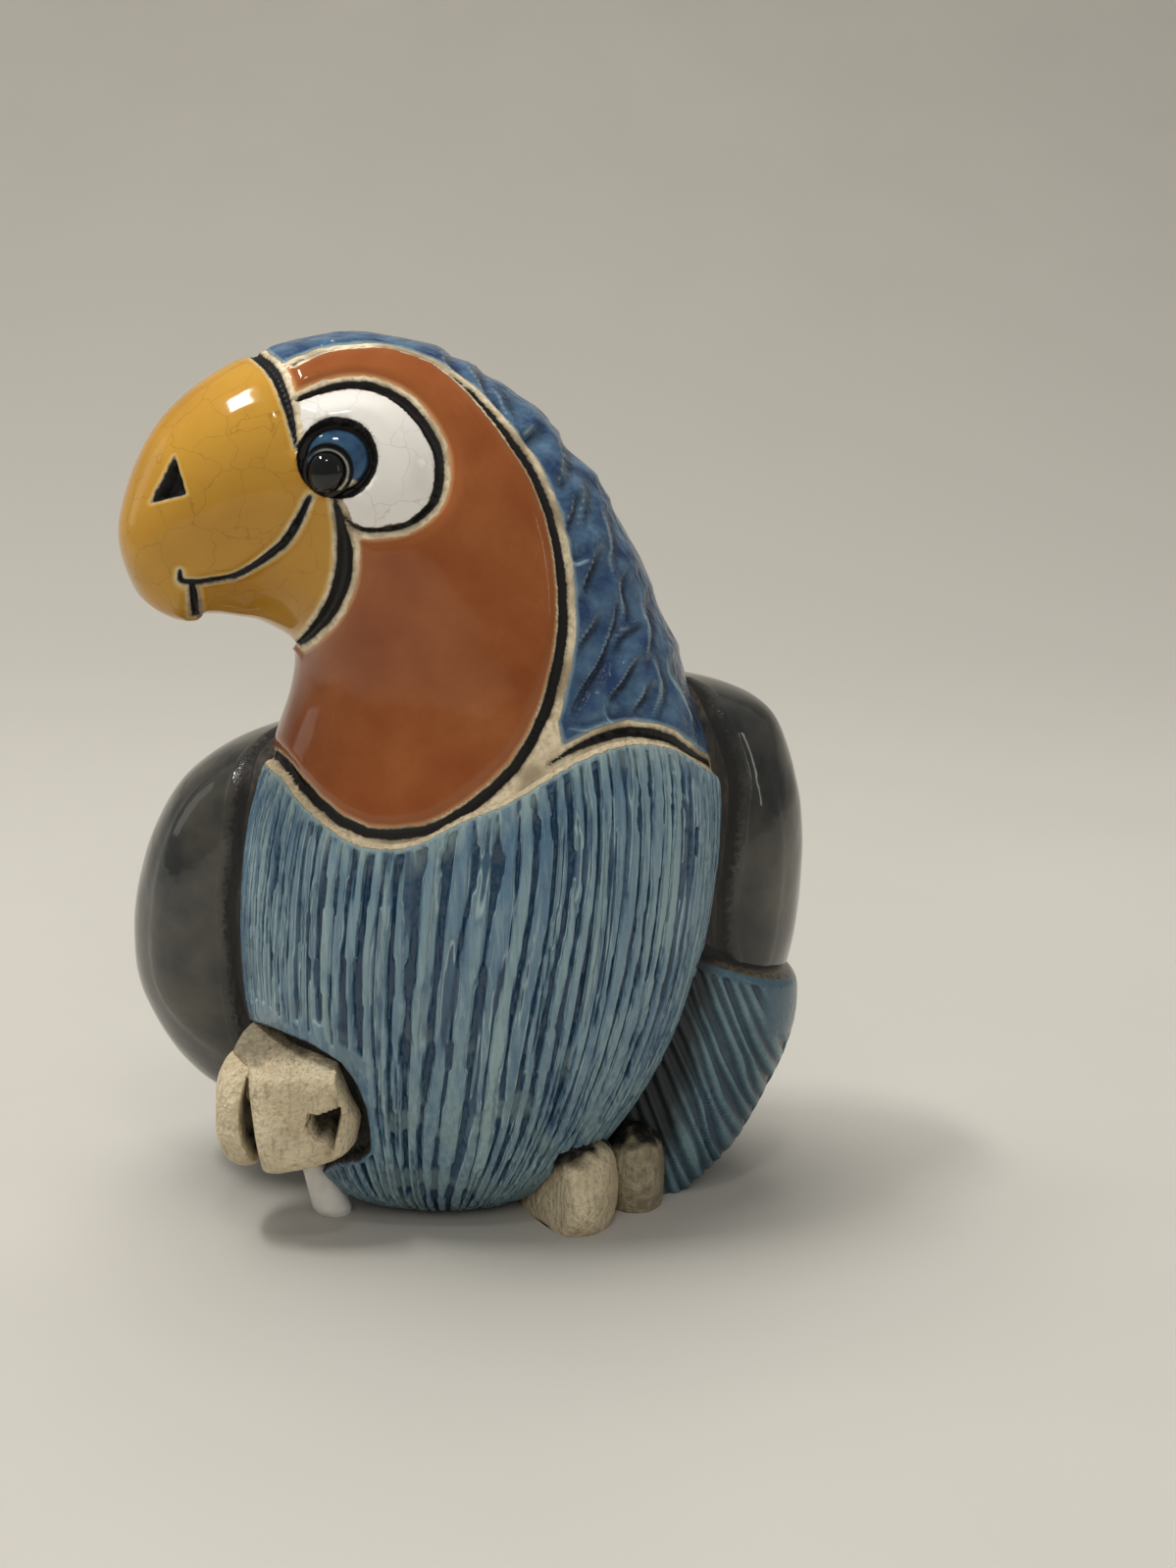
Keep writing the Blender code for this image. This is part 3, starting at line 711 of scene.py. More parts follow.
@dataclass(frozen=True)
class HeadFinish:
    """Glazes of the head and neck: yellow beak, orange face, white eye, blue crest and stained lines."""

    beak: Colour = srgb(192, 144, 54)
    beak_deep: Colour = srgb(180, 130, 46)
    beak_crack: Colour = srgb(120, 76, 16)
    beak_edge: Colour = srgb(226, 196, 120)
    face: Colour = srgb(138, 72, 32)
    face_thin: Colour = srgb(160, 94, 50)
    face_edge: Colour = srgb(226, 176, 124)
    white: Colour = srgb(236, 232, 226)
    white_crack: Colour = srgb(136, 128, 122)
    white_shade: Colour = srgb(196, 186, 178)
    crest: Colour = srgb(40, 64, 102)
    crest_pale: Colour = srgb(86, 118, 144)
    # Glaze pooled in the strokes' bottoms, with painted shade there
    crest_pool_and_shade: Colour = srgb(16, 24, 46)
    # Thin glaze by the clay, and a painted highlight on the strokes' edges
    crest_thin_glaze_and_highlight: Colour = srgb(166, 190, 196)
    rubbed: Colour = srgb(132, 116, 90)

    def material(self) -> bpy.types.Material:
        """The crest's colour, covered in turn by the face, beak and eye, then bare clay and the black lines.

        Returns:
            The material.
        """
        b = Bench("head_glaze")
        mottle, fine = b.grain(6.0, 4.0), b.grain(0.5, 4.0)
        pale, line, stroke = (b.measure(name) for name in ("pale", "line", "stroke"))
        beak, face, eye = (b.measure(name).ramp(0.4, 0.6) for name in ("beak", "face", "eye"))
        cracks, edge = b.crackle(3.4, 0.05), pale.ramp(0.35, 0.0) * 0.6
        crest = b.coats(
            self.crest,
            (b.grain(2.2, 4.0).ramp(0.36, 0.7), self.crest_pale),
            # Strokes: the bottom is painted darker, partly pooled glaze and partly painted shade; the edge
            # paler, partly thin glaze and partly a painted highlight
            (stroke.ramp(-0.15, -0.9) * 0.85, self.crest_pool_and_shade),
            (stroke.ramp(0.25, 0.85) * (fine * 0.8 + 0.2), self.crest_thin_glaze_and_highlight),
            (edge, self.crest_thin_glaze_and_highlight),
        )
        orange = b.coats(
            self.face,
            (mottle.ramp(0.35, 0.7), self.face_thin),
            (fine.ramp(0.45, 0.75) * 0.3, self.face),
            (pale.ramp(1.4, 0.1) * 0.55, self.face_thin),
            (edge, self.face_edge),
        )
        yellow = b.coats(
            self.beak,
            (mottle.ramp(0.4, 0.75), self.beak_deep),
            (b.measure("pool").ramp(0.0, 1.0), self.beak_deep),
            (cracks * 0.4, self.beak_crack),
            (pale.ramp(0.3, 0.0) * 0.6, self.beak_edge),
        )
        white = b.coats(
            self.white, (cracks * 0.3, self.white_crack), (mottle.ramp(0.4, 0.8) * 0.25, self.white_shade)
        )
        ragged = (fine - 0.5) * 0.25 + (b.grain(2.0, 3.0) - 0.5) * 0.5
        clay = b.coats(
            Clay.TAN,
            (fine.ramp(0.36, 0.6), Clay.CREAM),
            (b.grain(4.0, 4.0).ramp(0.47, 0.6) * 0.7, self.rubbed),
            ((line + ragged).ramp(0.26, 0.0) * 0.5, Clay.UMBER),
        )
        bare, belly = (pale + ragged).ramp(0.05, -0.05), b.measure("belly").ramp(0.3, 0.7)
        cut = (line + ragged * 0.4).ramp(0.04, -0.04)
        glazed = b.coats(crest, (face, orange), (beak, yellow), (eye, white))
        # The belly's umber is partly stain and partly painted shade under the trunk and beside the breast
        colour = b.coats(glazed, (bare, clay), (belly, Clay.UMBER), (cut, Clay.STAIN))
        dull = bare.most(cut).most(belly)
        roughness = dull * (0.4 + fine * 0.2) + (1 - dull) * 0.09
        plumage = 1 - face.most(beak).most(eye).most(dull)
        height = fine * dull + b.grain(2.5, 2.0) * 0.25 * (1 - dull) + b.grain(0.8, 3.0) * plumage * 4.5
        return b.finish(
            Base_Color=colour, Roughness=roughness, Normal=b.bumps(height, 0.06),
            IOR=1.52, Specular_IOR_Level=0.38,
        )


@dataclass(frozen=True)
class BreastFinish:
    """Blue glaze that pools dark in the hollows of the flutes and thins to pale teal on their ridges."""

    hollow: Colour = srgb(34, 64, 90)
    middle: Colour = srgb(90, 122, 146)
    ridge: Colour = srgb(148, 174, 176)
    pool: Colour = srgb(70, 110, 148)
    hair_pale: Colour = srgb(168, 190, 190)
    hair_dark: Colour = srgb(34, 58, 88)
    # Thin glaze on the ridges' shoulders, with a painted highlight
    thin: Colour = srgb(178, 198, 196)
    chip: Colour = srgb(134, 156, 152)
    worn: Colour = srgb(166, 188, 186)

    def material(self) -> bpy.types.Material:
        """Hollow to ridge by the flute's height, with the cream rim above and the stained recess below.

        Returns:
            The material.
        """
        b = Bench("breast_glaze")
        flute = b.measure("flute")
        mottle, streak = b.grain(5.0, 3.0, 0.35), b.grain(0.7, 4.0, 0.12)
        fine, hair = b.grain(0.4, 4.0), b.grain(0.3, 3.0, 0.07)
        height = flute + (streak - 0.5) * 0.45 + (mottle - 0.5) * 0.7
        rim, recess = b.frayed("rim", fine, 0.5), b.frayed("recess", fine, 0.3).ramp(0.08, -0.08)
        bare, cut = rim.ramp(0.58, 0.5), rim.ramp(0.14, 0.04)
        pooled = (rim + (mottle - 0.5) * 12.0).ramp(7.5, 3.0)
        # Pale line along each ridge's shoulder: thin glaze, with a painted highlight along it
        thin = flute.ramp(0.3, 0.42) * flute.ramp(0.62, 0.5) * (streak + mottle).ramp(0.85, 1.1)
        worn = (rim.ramp(3.4, 0.6) * streak.ramp(0.36, 0.6)).most(rim.ramp(0.95, 0.6))
        colour = b.coats(
            self.hollow,
            (height.ramp(0.05, 0.55), self.middle),
            (height.ramp(0.6, 1.15), self.ridge),
            (hair.ramp(0.54, 0.64) * flute.ramp(0.3, 0.7) * 0.22, self.hair_pale),
            (hair.ramp(0.46, 0.36) * 0.16, self.hair_dark),
            (pooled * 0.3, b.coats(self.hollow, (flute.ramp(0.1, 0.9), self.pool))),
            (thin * 0.7, self.thin),
            (b.measure("chip") * 0.35, self.chip),
            (worn * 0.75, self.worn),
            (bare, b.coats(Clay.TAN, (fine.ramp(0.4, 0.7), Clay.CREAM))),
            (cut, Clay.STAIN),
            (recess, b.coats(Clay.STAIN, (mottle.ramp(0.45, 0.75), Clay.UMBER))),
        )
        dull = bare.most(cut).most(recess)
        roughness = dull * 0.55 + (1 - dull) * (0.06 + streak * 0.12)
        bump = fine * dull + streak * 0.6 + hair * 0.3 + b.grain(0.8, 2.0, 0.5) * 1.2
        return b.finish(Base_Color=colour, Roughness=roughness, Normal=b.bumps(bump, 0.28), IOR=1.52)


@dataclass(frozen=True)
class WingFinish:
    """Near-black glaze, with a matte brown band of stained clay along the wing's front edge."""

    glaze: Colour = srgb(40, 42, 42)
    thin: Colour = srgb(76, 74, 66)
    band_dark: Colour = srgb(36, 33, 30)
    band_pale: Colour = srgb(76, 68, 58)
    lip_dark: Colour = srgb(70, 62, 52)
    lip_pale: Colour = srgb(122, 108, 86)

    def material(self) -> bpy.types.Material:
        """Glaze over the wing and brushed stain where the rim is near.

        Returns:
            The material.
        """
        b = Bench("wing_glaze")
        fine, brushed = b.grain(0.5, 4.0), b.grain(0.6, 4.0, 0.2)
        rim, cut = b.frayed("rim", fine, 0.4), b.measure("cut")
        band, lip = rim.ramp(0.1, -0.1), b.frayed("lip", fine, 0.4).ramp(0.35, 0.65)
        umber = b.coats(
            self.band_dark,
            (brushed.ramp(0.36, 0.75), self.band_pale),
            ((rim + (brushed - 0.5) * 0.6).ramp(-0.8, -0.55), Clay.STAIN),
        )
        colour = b.coats(
            self.glaze,
            ((b.grain(5.0, 3.0) * 0.6 + b.grain(9.0, 2.0) * 0.4).ramp(0.42, 0.62), self.thin),
            (b.measure("groove").ramp(0.75, 1.0) * 0.5, self.thin),
            (band, umber),
            (cut, Clay.STAIN),
            (lip, b.coats(self.lip_dark, (fine.ramp(0.35, 0.65), self.lip_pale))),
            (b.frayed("chip", fine, 0.4).ramp(0.4, 0.6), Clay.CREAM),
        )
        matte = band.most(lip).most(cut)
        roughness = matte * 0.55 + (1 - matte) * 0.07
        bump = brushed * matte * 2.0 + b.grain(2.6, 2.0) * 1.1
        return b.finish(Base_Color=colour, Roughness=roughness, Normal=b.bumps(bump, 0.06), IOR=1.55)


@dataclass(frozen=True)
class TailFinish:
    """Teal-blue glaze on the tail's ridges over dark grooves."""

    groove: Colour = srgb(48, 68, 84)
    middle: Colour = srgb(78, 106, 120)
    ridge: Colour = srgb(124, 150, 152)
    lip_dark: Colour = srgb(62, 56, 48)
    lip_pale: Colour = srgb(104, 94, 78)
    stain: Colour = srgb(30, 33, 34)

    def material(self) -> bpy.types.Material:
        """Groove to ridge by height, with a worn lip, a stained top, and a darker part where it tucks against
        the body, partly stain and partly painted shade.

        Returns:
            The material.
        """
        b = Bench("tail_glaze")
        fine = b.grain(0.4, 4.0)
        height = b.frayed("groove", fine, 0.5) + (b.grain(4.0, 3.0) - 0.5) * 0.9
        lip, stain = b.frayed("lip", fine, 0.6).ramp(0.4, 0.6), b.frayed("stain", fine, 0.4).ramp(0.1, 0.9)
        colour = b.coats(
            self.groove,
            (height.ramp(0.0, 0.8), self.middle),
            (height.ramp(0.75, 1.35), self.ridge),
            (lip, b.coats(self.lip_dark, (fine.ramp(0.35, 0.65), self.lip_pale))),
            # The stain is partly painted shade where the tail tucks against the body
            (stain * 0.92, self.stain),
        )
        roughness = stain * 0.45 + (1 - stain) * 0.22
        return b.finish(Base_Color=colour, Roughness=roughness, Normal=b.bumps(fine, 0.06), IOR=1.5)


@dataclass(frozen=True)
class BareClayFinish:
    """Unglazed cream clay with its grain, with stain and painted shade in the cuts."""

    pale: Colour = srgb(224, 210, 178)
    tan: Colour = srgb(200, 182, 150)
    pore: Colour = srgb(122, 106, 82)
    hair: Colour = srgb(112, 98, 78)
    rubbed: Colour = srgb(88, 82, 66)

    def material(self) -> bpy.types.Material:
        """Cream and tan by noise, darkened by the stain that the piece carries, which in the cuts is also
        painted shade.

        Returns:
            The material.
        """
        b = Bench("bare_clay")
        fine, hairs = b.grain(0.35, 5.0), b.grain(0.45, 5.0, 0.3)
        # The carried stain is painted shade as well as stain inside the cuts
        dark = b.frayed("stain", b.grain(0.9, 5.0), 0.5)
        colour = b.coats(
            self.pale,
            (b.grain(2.6, 4.0).ramp(0.35, 0.7), self.tan),
            (fine.ramp(0.52, 0.72) * 0.4, self.pore),
            (hairs.ramp(0.54, 0.7) * 0.4, self.hair),
            (dark.ramp(0.15, 0.7) * 0.8, self.rubbed),
            (dark.ramp(0.72, 1.0), Clay.STAIN),
        )
        bump = fine + hairs * 0.7 + b.grain(1.2, 3.0) * 0.8
        return b.finish(Base_Color=colour, Roughness=0.8, Normal=b.bumps(bump, 0.34), IOR=1.4)


@dataclass(frozen=True)
class RodFinish:
    """Smooth white clay of the rod, faintly marked."""

    white: Colour = srgb(242, 238, 232)
    mark: Colour = srgb(218, 212, 204)

    def material(self) -> bpy.types.Material:
        """Off-white, a little darker by noise.

        Returns:
            The material.
        """
        b = Bench("white_rod")
        colour = b.coats(self.white, (b.grain(1.5, 3.0).ramp(0.4, 0.75), self.mark))
        return b.finish(Base_Color=colour, Roughness=0.45, Normal=b.bumps(b.grain(0.5, 3.0), 0.03), IOR=1.45)


@dataclass(frozen=True)
class EyeFinish:
    """The iris: blue glaze in a black ring, with the pupil's dark ring and a crescent of bare clay in it."""

    blue: Colour = srgb(36, 62, 94)
    blue_pale: Colour = srgb(56, 92, 122)
    crescent: Colour = srgb(204, 194, 166)
    pupil: Colour = srgb(14, 14, 15)

    def material(self) -> bpy.types.Material:
        """Blue inside the ring, cream in the crescent, black in the cuts and on the pupil.

        Returns:
            The material.
        """
        b = Bench("iris_glaze")
        pupil = b.measure("pupil").ramp(0.4, 0.6)
        colour = b.coats(
            self.blue,
            (b.grain(1.2, 3.0).ramp(0.35, 0.65), self.blue_pale),
            (b.measure("crescent"), self.crescent),
            (b.frayed("ring", b.grain(0.4, 3.0), 0.1).ramp(0.06, -0.02), Clay.STAIN),
            (pupil, self.pupil),
        )
        roughness = b.measure("ring").ramp(0.1, 0.0) * (1 - pupil) * 0.4 + 0.06
        return b.finish(Base_Color=colour, Roughness=roughness, IOR=1.55)


@dataclass(frozen=True)
class PaperFinish:
    """The pale matte sheet that the bird stands on."""

    near: Colour = srgb(184, 181, 174)
    # Painted shade: the paper darker towards the back and up the curve
    far: Colour = srgb(146, 142, 134)
    mottle: Colour = srgb(170, 166, 158)

    def material(self) -> bpy.types.Material:
        """Pale paper with a faint mottle, painted darker where it rises, as shade.

        Returns:
            The material.
        """
        b = Bench("pale_paper")
        mottle = b.grain(30.0, 2.0).ramp(0.3, 0.7) * 0.15
        colour = b.coats(self.near, (b.measure("far"), self.far), (mottle, self.mottle))
        return b.finish(Base_Color=colour, Roughness=0.85)


# Pieces


@dataclass
class Grid:
    """A sheet of points in rows and columns, with the numbers it carries.

    Attributes:
        points: Drawn millimetres, rows by columns by 3.
        measures: Numbers for each point, by name.
    """

    points: Array
    measures: dict[str, Array] = field(default_factory=dict)

    @property
    def index(self) -> Array:
        """The number of each point."""
        return np.arange(self.points[..., 0].size).reshape(self.points.shape[:2])


def raised(base: Array, normal: Array, relief: Array, floor: float) -> Array:
    """The base moved along its normals by a relief.

    Args:
        base: Points.
        normal: The way each moves.
        relief: How far it moves.
        floor: The least height that any may have.

    Returns:
        The moved points.
    """
    points = base + normal * relief[..., None]
    points[..., 2] = np.maximum(points[..., 2], floor)
    return points


def sheet_faces(index: Array, closed: bool) -> Array:
    """The four corners of each cell of a grid.

    Args:
        index: The number of each point.
        closed: Whether the columns join round.

    Returns:
        Faces, n by 4.
    """
    other = np.roll(index, -1, axis=1) if closed else index[:, 1:]
    index = index if closed else index[:, :-1]
    return np.stack([index[:-1], other[:-1], other[1:], index[1:]], -1).reshape(-1, 4)


def carry(mesh: bpy.types.Mesh, measures: dict[str, Array]) -> None:
    """Puts each measure on the mesh's points, under its name."""
    for label, values in measures.items():
        numbers = mesh.attributes.new(label, "FLOAT", "POINT").data
        numbers.foreach_set("value", values.astype(np.float32).ravel())


def put(name: str, data: bpy.types.ID) -> bpy.types.Object:
    """A new object in the scene.

    Args:
        name: Its name.
        data: Its mesh, light or camera.

    Returns:
        The object.
    """
    made = bpy.data.objects.new(name, data)
    bpy.context.scene.collection.objects.link(made)
    return made


def make_piece(
    name: str, points: Array, faces: Sequence[Array], measures: dict[str, Array],
    material: bpy.types.Material,
) -> None:
    """A finished piece: its mesh from whole arrays, its numbers, its glaze and its place on the body.

    Args:
        name: The piece's name.
        points: Drawn millimetres, n by 3.
        faces: Arrays of faces, each with its own number of corners.
        measures: Numbers for each point, by name.
        material: Its finish.
    """
    mesh = bpy.data.meshes.new(name)
    placed = (points - (*BOX_CENTRE, 0.0)) * MILLIMETRE
    mesh.vertices.add(len(placed))
    mesh.vertices.foreach_set("co", placed.astype(np.float32).ravel())
    sizes = np.concatenate([np.full(len(group), group.shape[1]) for group in faces])
    corners = np.concatenate([group.ravel() for group in faces]).astype(np.int32)
    mesh.loops.add(len(corners))
    mesh.loops.foreach_set("vertex_index", corners)
    mesh.polygons.add(len(sizes))
    mesh.polygons.foreach_set("loop_start", (np.cumsum(sizes) - sizes).astype(np.int32))
    mesh.update(calc_edges=True)
    mesh.validate()
    fans = [group[:, [0, k, k + 1]] for group in faces for k in range(1, group.shape[1] - 1)]
    if np.linalg.det(placed[np.concatenate(fans)]).sum() < 0:
        mesh.flip_normals()
    carry(mesh, measures)
    mesh.materials.append(material)
    mesh.shade_smooth()
    mesh.set_sharp_from_angle(angle=SHARP)
    piece = put(name, mesh)
    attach(piece, BODY)
    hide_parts(NODE)
    LOG.info("%s: %d faces", name, len(sizes))


def closed_tube(name: str, grid: Grid, material: bpy.types.Material) -> None:
    """A piece from rows that close round, with a lid on its first and last rows.

    Args:
        name: The piece's name.
        grid: Its points.
        material: Its finish.
    """
    faces = [sheet_faces(grid.index, True), grid.index[:1, ::-1], grid.index[-1:]]
    measures = {label: values.ravel() for label, values in grid.measures.items()}
    make_piece(name, grid.points.reshape(-1, 3), faces, measures, material)


def shield(name: str, grid: Grid, sunk: Array, heart: Place, material: bpy.types.Material, slot: str) -> None:
    """A piece on another: its sheet, a skirt from its edge to sunk points, and a fan to its heart.

    Args:
        name: The piece's name.
        grid: The sheet that shows.
        sunk: A point under each point of the grid, inside what carries it.
        heart: One point further in.
        material: Its finish.
        slot: Not used.
    """
    index = grid.index
    edge = np.concatenate([index[0, :-1], index[:-1, -1], index[-1, :0:-1], index[:0:-1, 0]])
    skirt = index.size + np.arange(len(edge))
    points = np.concatenate([grid.points.reshape(-1, 3), sunk.reshape(-1, 3)[edge], np.array([heart])])
    after, skirt_after = np.roll(edge, -1), np.roll(skirt, -1)
    faces = [
        sheet_faces(index, False),
        np.stack([edge, skirt, skirt_after, after], -1),
        np.stack([skirt, np.full(len(skirt), len(points) - 1), skirt_after], -1),
    ]
    measures = {
        label: np.concatenate([values.ravel(), values.ravel()[edge], values.ravel()[:1]])
        for label, values in grid.measures.items()
    }
    make_piece(name, points, faces, measures, material)


@dataclass(frozen=True)
class Head:
    """The trunk with its head: crest, face, beak and the white of the eye, with every carved line."""

    trunk: Trunk
    breast: Breast
    bed: float = 2.2
    belly_rows: int = 34
    rows: int = 292
    near_columns: int = 202
    far_columns: int = 98
    first_carved: float = 4.6
    line_depth: float = 0.5
    line_half: float = 0.42
    line_aside: float = 0.42
    crest_rise: float = 0.12
    crest_rumple: float = 0.26
    face_rise: float = 0.14
    pillow: float = 0.26
    beak_rise: float = 0.22
    jaw_rise: float = -0.2
    eye_rise: float = 0.25
    eye_dome: float = 0.55
    eye_fall: float = 0.3
    eye_radius: float = 6.4
    pit: float = 1.1
    socket: float = 2.98
    stroke_depth: float = 1.4
    stroke_widths: tuple[float, float, float] = (0.24, 1.3, 0.34)
    stroke_full: float = 0.65
    reach: float = 4.0

    def lines(self) -> list[CarvedLine]:
        """Every carved line, with its half widths as the gouge pressed.

        Returns:
            The lines, black ones and one that is only bare.
        """
        return [
            CarvedLine(
                widened(FACE_EDGE, self.line_aside),
                (0.1, -0.1, -0.1, 0.0, 0.24, 0.38, 0.4, 0.4, 0.42, 0.42, 0.42, 0.4, 0.38, 0.42, 0.48, 0.3),
                (0.12, 0.68), "face",
            ),
            CarvedLine(EYE_EDGE, (0.1, 0.18, 0.22, 0.3, 0.4, 0.45, 0.5, 0.4, 0.3, 0.14), (0.03, 0.4), "eye"),
            CarvedLine(BEAK_LINE, (0.34, 0.42, 0.4, 0.3, 0.12), (0.12, 0.5), "beak"),
            CarvedLine(MOUTH, (0.18, 0.32, 0.3, 0.28, 0.27, 0.25, 0.12), (0.2, 0.2)),
            CarvedLine(HOOK, (0.22, 0.3, 0.3), (0.3, 0.3)),
            CarvedLine(JAW, (0.12, 0.38, 0.62, 0.66, 0.55, 0.4, 0.2), (0.32, 0.5), "beak"),
            CarvedLine(CORNER, (-0.1, 0.2, 0.3, 0.15, -0.5), (0.6, 0.6), far=False, stained=False),
            CarvedLine(COLLAR, (0.05, 0.22, 0.36, 0.42, 0.4, 0.32, 0.2), (0.44, 0.44), far=False),
        ]

    def regions(self, places: Array) -> dict[str, Array]:
        """The face, the beak, the lower beak and the eye, by their outlines.

        Args:
            places: Where each point shows on the elevation.

        Returns:
            Which points lie in each, by its name.
        """
        edge, jaw, mouth, line = (curve_through(outline) for outline in (FACE_EDGE, JAW, MOUTH, BEAK_LINE))
        outlines = {
            "face": [edge, [(-24.0, 42.0), (-16.0, 45.6)], jaw[::-1], line[::-1]],
            "beak": [line, jaw, [(-16.5, 44.6), (-40.0, 44.0), (-40.0, 80.0), (-18.4, 72.2)]],
            "lower": [mouth[:-8], curve_through(HOOK), [(-21.0, 46.0), (-14.5, 46.0)], jaw[::-1]],
            "eye": [curve_through(EYE_EDGE), EYE_LEFT],
        }
        return {label: inside(places, np.concatenate(parts)) for label, parts in outlines.items()}

    def feathers(self, places: Array) -> tuple[Array, Array]:
        """Gouge strokes of the crest: each falls steeply from its left and climbs gently to its right.

        Args:
            places: Where each point shows on the elevation.

        Returns:
            Heights in millimetres, and a mark from -1 in the bottom of a stroke to 1 on its edge, which the
            glaze paints as shade and as a highlight.
        """
        flat = places.reshape(-1, 2)
        height, dark, edge = np.zeros((3, len(flat)))
        steep, gentle, lip = self.stroke_widths
        for depth, outline in STROKES:
            beside, share = offset_from(flat, curve_through(outline, 5), self.reach)
            taper = np.sin(math.pi * np.clip(share, 0.02, 0.98)) ** 0.6
            valley = hill(beside, 0.0, np.where(beside < 0, steep, gentle))
            height = np.minimum(height, -depth * taper * valley)
            # The dark bottom and the pale edge are painted shade and a painted highlight, with pooled and
            # thin glaze
            dark = np.maximum(dark, depth / self.stroke_full * taper * hill(beside, 0.1, 0.3))
            edge = np.maximum(edge, taper * hill(beside, -lip, 0.5 * lip))
        height = self.stroke_depth * height.reshape(places.shape[:-1])
        return height, (edge - 1.4 * dark).reshape(places.shape[:-1])

    def grid(self) -> Grid:
        """The trunk's points moved along their normals by the relief, with the numbers that part its glazes.

        Returns:
            Rows from the belly to the beak's tip, in columns that close round.
        """
        station = np.concatenate([
            np.linspace(0, self.first_carved, self.belly_rows)[:-1],
            np.linspace(self.first_carved, self.trunk.last, self.rows),
        ])[:, None]
        turn = np.concatenate([
            np.linspace(0, 180, self.near_columns, endpoint=False),
            np.linspace(180, 360, self.far_columns, endpoint=False),
        ])[None, :]
        station, turn = np.broadcast_arrays(station, turn)
        base, normal = self.trunk.laid(station, turn)
        places = sight(self.trunk.surface(station, np.where(turn > 180, 360 - turn, turn)))
        within = self.regions(places)
        face, beak, lower, eye = within.values()
        line, pale = self.gaps(base, within)
        feather, stroke = self.feathers(places)
        feather += self.crest_rumple * rumple(base, 3.0, 4)
        under = ease(self.breast.top(turn) - station, 0.3, 0.45) * ease(turn, self.breast.right + 1.5, 0.0)
        under = under * fall(turn, 180.0, self.breast.left - 1.5)
        relief = 0.1 * rumple(base, 7.0, 3) - self.bed * under
        relief += np.where(face | beak | eye, 0.0, feather + self.crest_rise) * ease(pale, -0.1, 0.7)
        shoulder = ease(np.minimum(line, pale + 0.3), 0.0, 0.9)
        cheek = self.face_rise * shoulder + self.pillow * ease(pale, -0.1, 1.0)
        relief += np.where(face & ~eye, cheek, 0.0)
        relief += np.where(beak, np.where(lower, self.jaw_rise, self.beak_rise) * shoulder, 0.0)
        dome = self.eye_fall * (self.distance(base, EYE_CENTRE) / self.eye_radius) ** 2
        relief += np.where(eye, self.eye_rise + self.eye_dome * ease(line, 0.0, 2.2) - dome, 0.0)
        relief -= self.line_depth * np.clip(-line / self.line_half, 0, 1.3) ** 0.7 * ease(station, 5.0, 5.8)
        nostril, iris = flat_gap(places, NOSTRIL), self.distance(base, IRIS_CENTRE)
        relief -= self.pit * fall(nostril, -0.55, 0.1)
        relief -= self.pit * fall(iris, 2.7, 2.95)
        # Darker under the belly, under the breast and in the flank strips: partly stain, partly painted shade
        belly = np.maximum(1 - ease(station, 2.3, 3.2), np.maximum(under, self.flank(station, turn)))
        return Grid(raised(base, normal, relief, 0.0), {
            "line": np.minimum(line, np.minimum(nostril, iris - self.socket)),
            "pale": np.minimum(pale, nostril - 0.05), "stroke": stroke, "belly": belly,
            "beak": beak * 1.0, "face": face * 1.0, "eye": eye * 1.0,
            "pool": np.where(lower, fall(self.distance(base, JAW_POOL), 2.0, 5.0), 0.0),
        })

    def flank(self, station: Array, turn: Array) -> Array:
        """The strips between the breast and the wings, darkened partly by stain and partly by painted shade,
        fading out a few degrees away.

        Args:
            station: How far along the trunk.
            turn: How far round it, in degrees.

        Returns:
            1 in the strips and 0 elsewhere.
        """
        right, left = np.mod(turn + 180, 360) - 180 - self.breast.right, turn - self.breast.left
        aside = np.minimum(np.abs(right), np.abs(left))
        return (1 - ease(aside, 9.0, 14.0)) * (1 - ease(station, 5.2, 5.6))

    def distance(self, base: Array, place: tuple[float, float]) -> Array:
        """How far each point is from one place of the head, on whichever cheek is nearer.

        Args:
            base: Points of the trunk.
            place: The place on the elevation.

        Returns:
            Distances.
        """
        station, turn = self.trunk.locate([place])[0]
        spots = [self.trunk.surface(station, side * turn) for side in (1, -1)]
        return np.minimum(*(np.linalg.norm(base - spot, axis=-1) for spot in spots))

    def gaps(self, base: Array, within: dict[str, Array]) -> tuple[Array, Array]:
        """Distances from the black lines and from the bare clay beside them.

        Args:
            base: Points of the trunk.
            within: Which points lie in each region, by its name.

        Returns:
            The distance of each point from the nearest line's edge, and from the edge of the clay beside one.
        """
        flat = base.reshape(-1, 3)
        line, pale = np.full((2, len(flat)), self.reach)
        for cut in self.lines():
            for side in (1, -1) if cut.far else (1,):
                gap = gap_to(flat, *cut.traced(self.trunk, side), self.reach)
                clay_in, clay_out = cut.clay
                strip = np.where(within[cut.bounds].ravel(), clay_in, clay_out) if cut.bounds else clay_in
                if cut.stained:
                    line = np.minimum(line, gap)
                pale = np.minimum(pale, gap - strip)
        return line.reshape(base.shape[:-1]), pale.reshape(base.shape[:-1])

    def build(self) -> None:
        """Makes the piece."""
        closed_tube("parrot_head_and_trunk", self.grid(), HeadFinish().material())


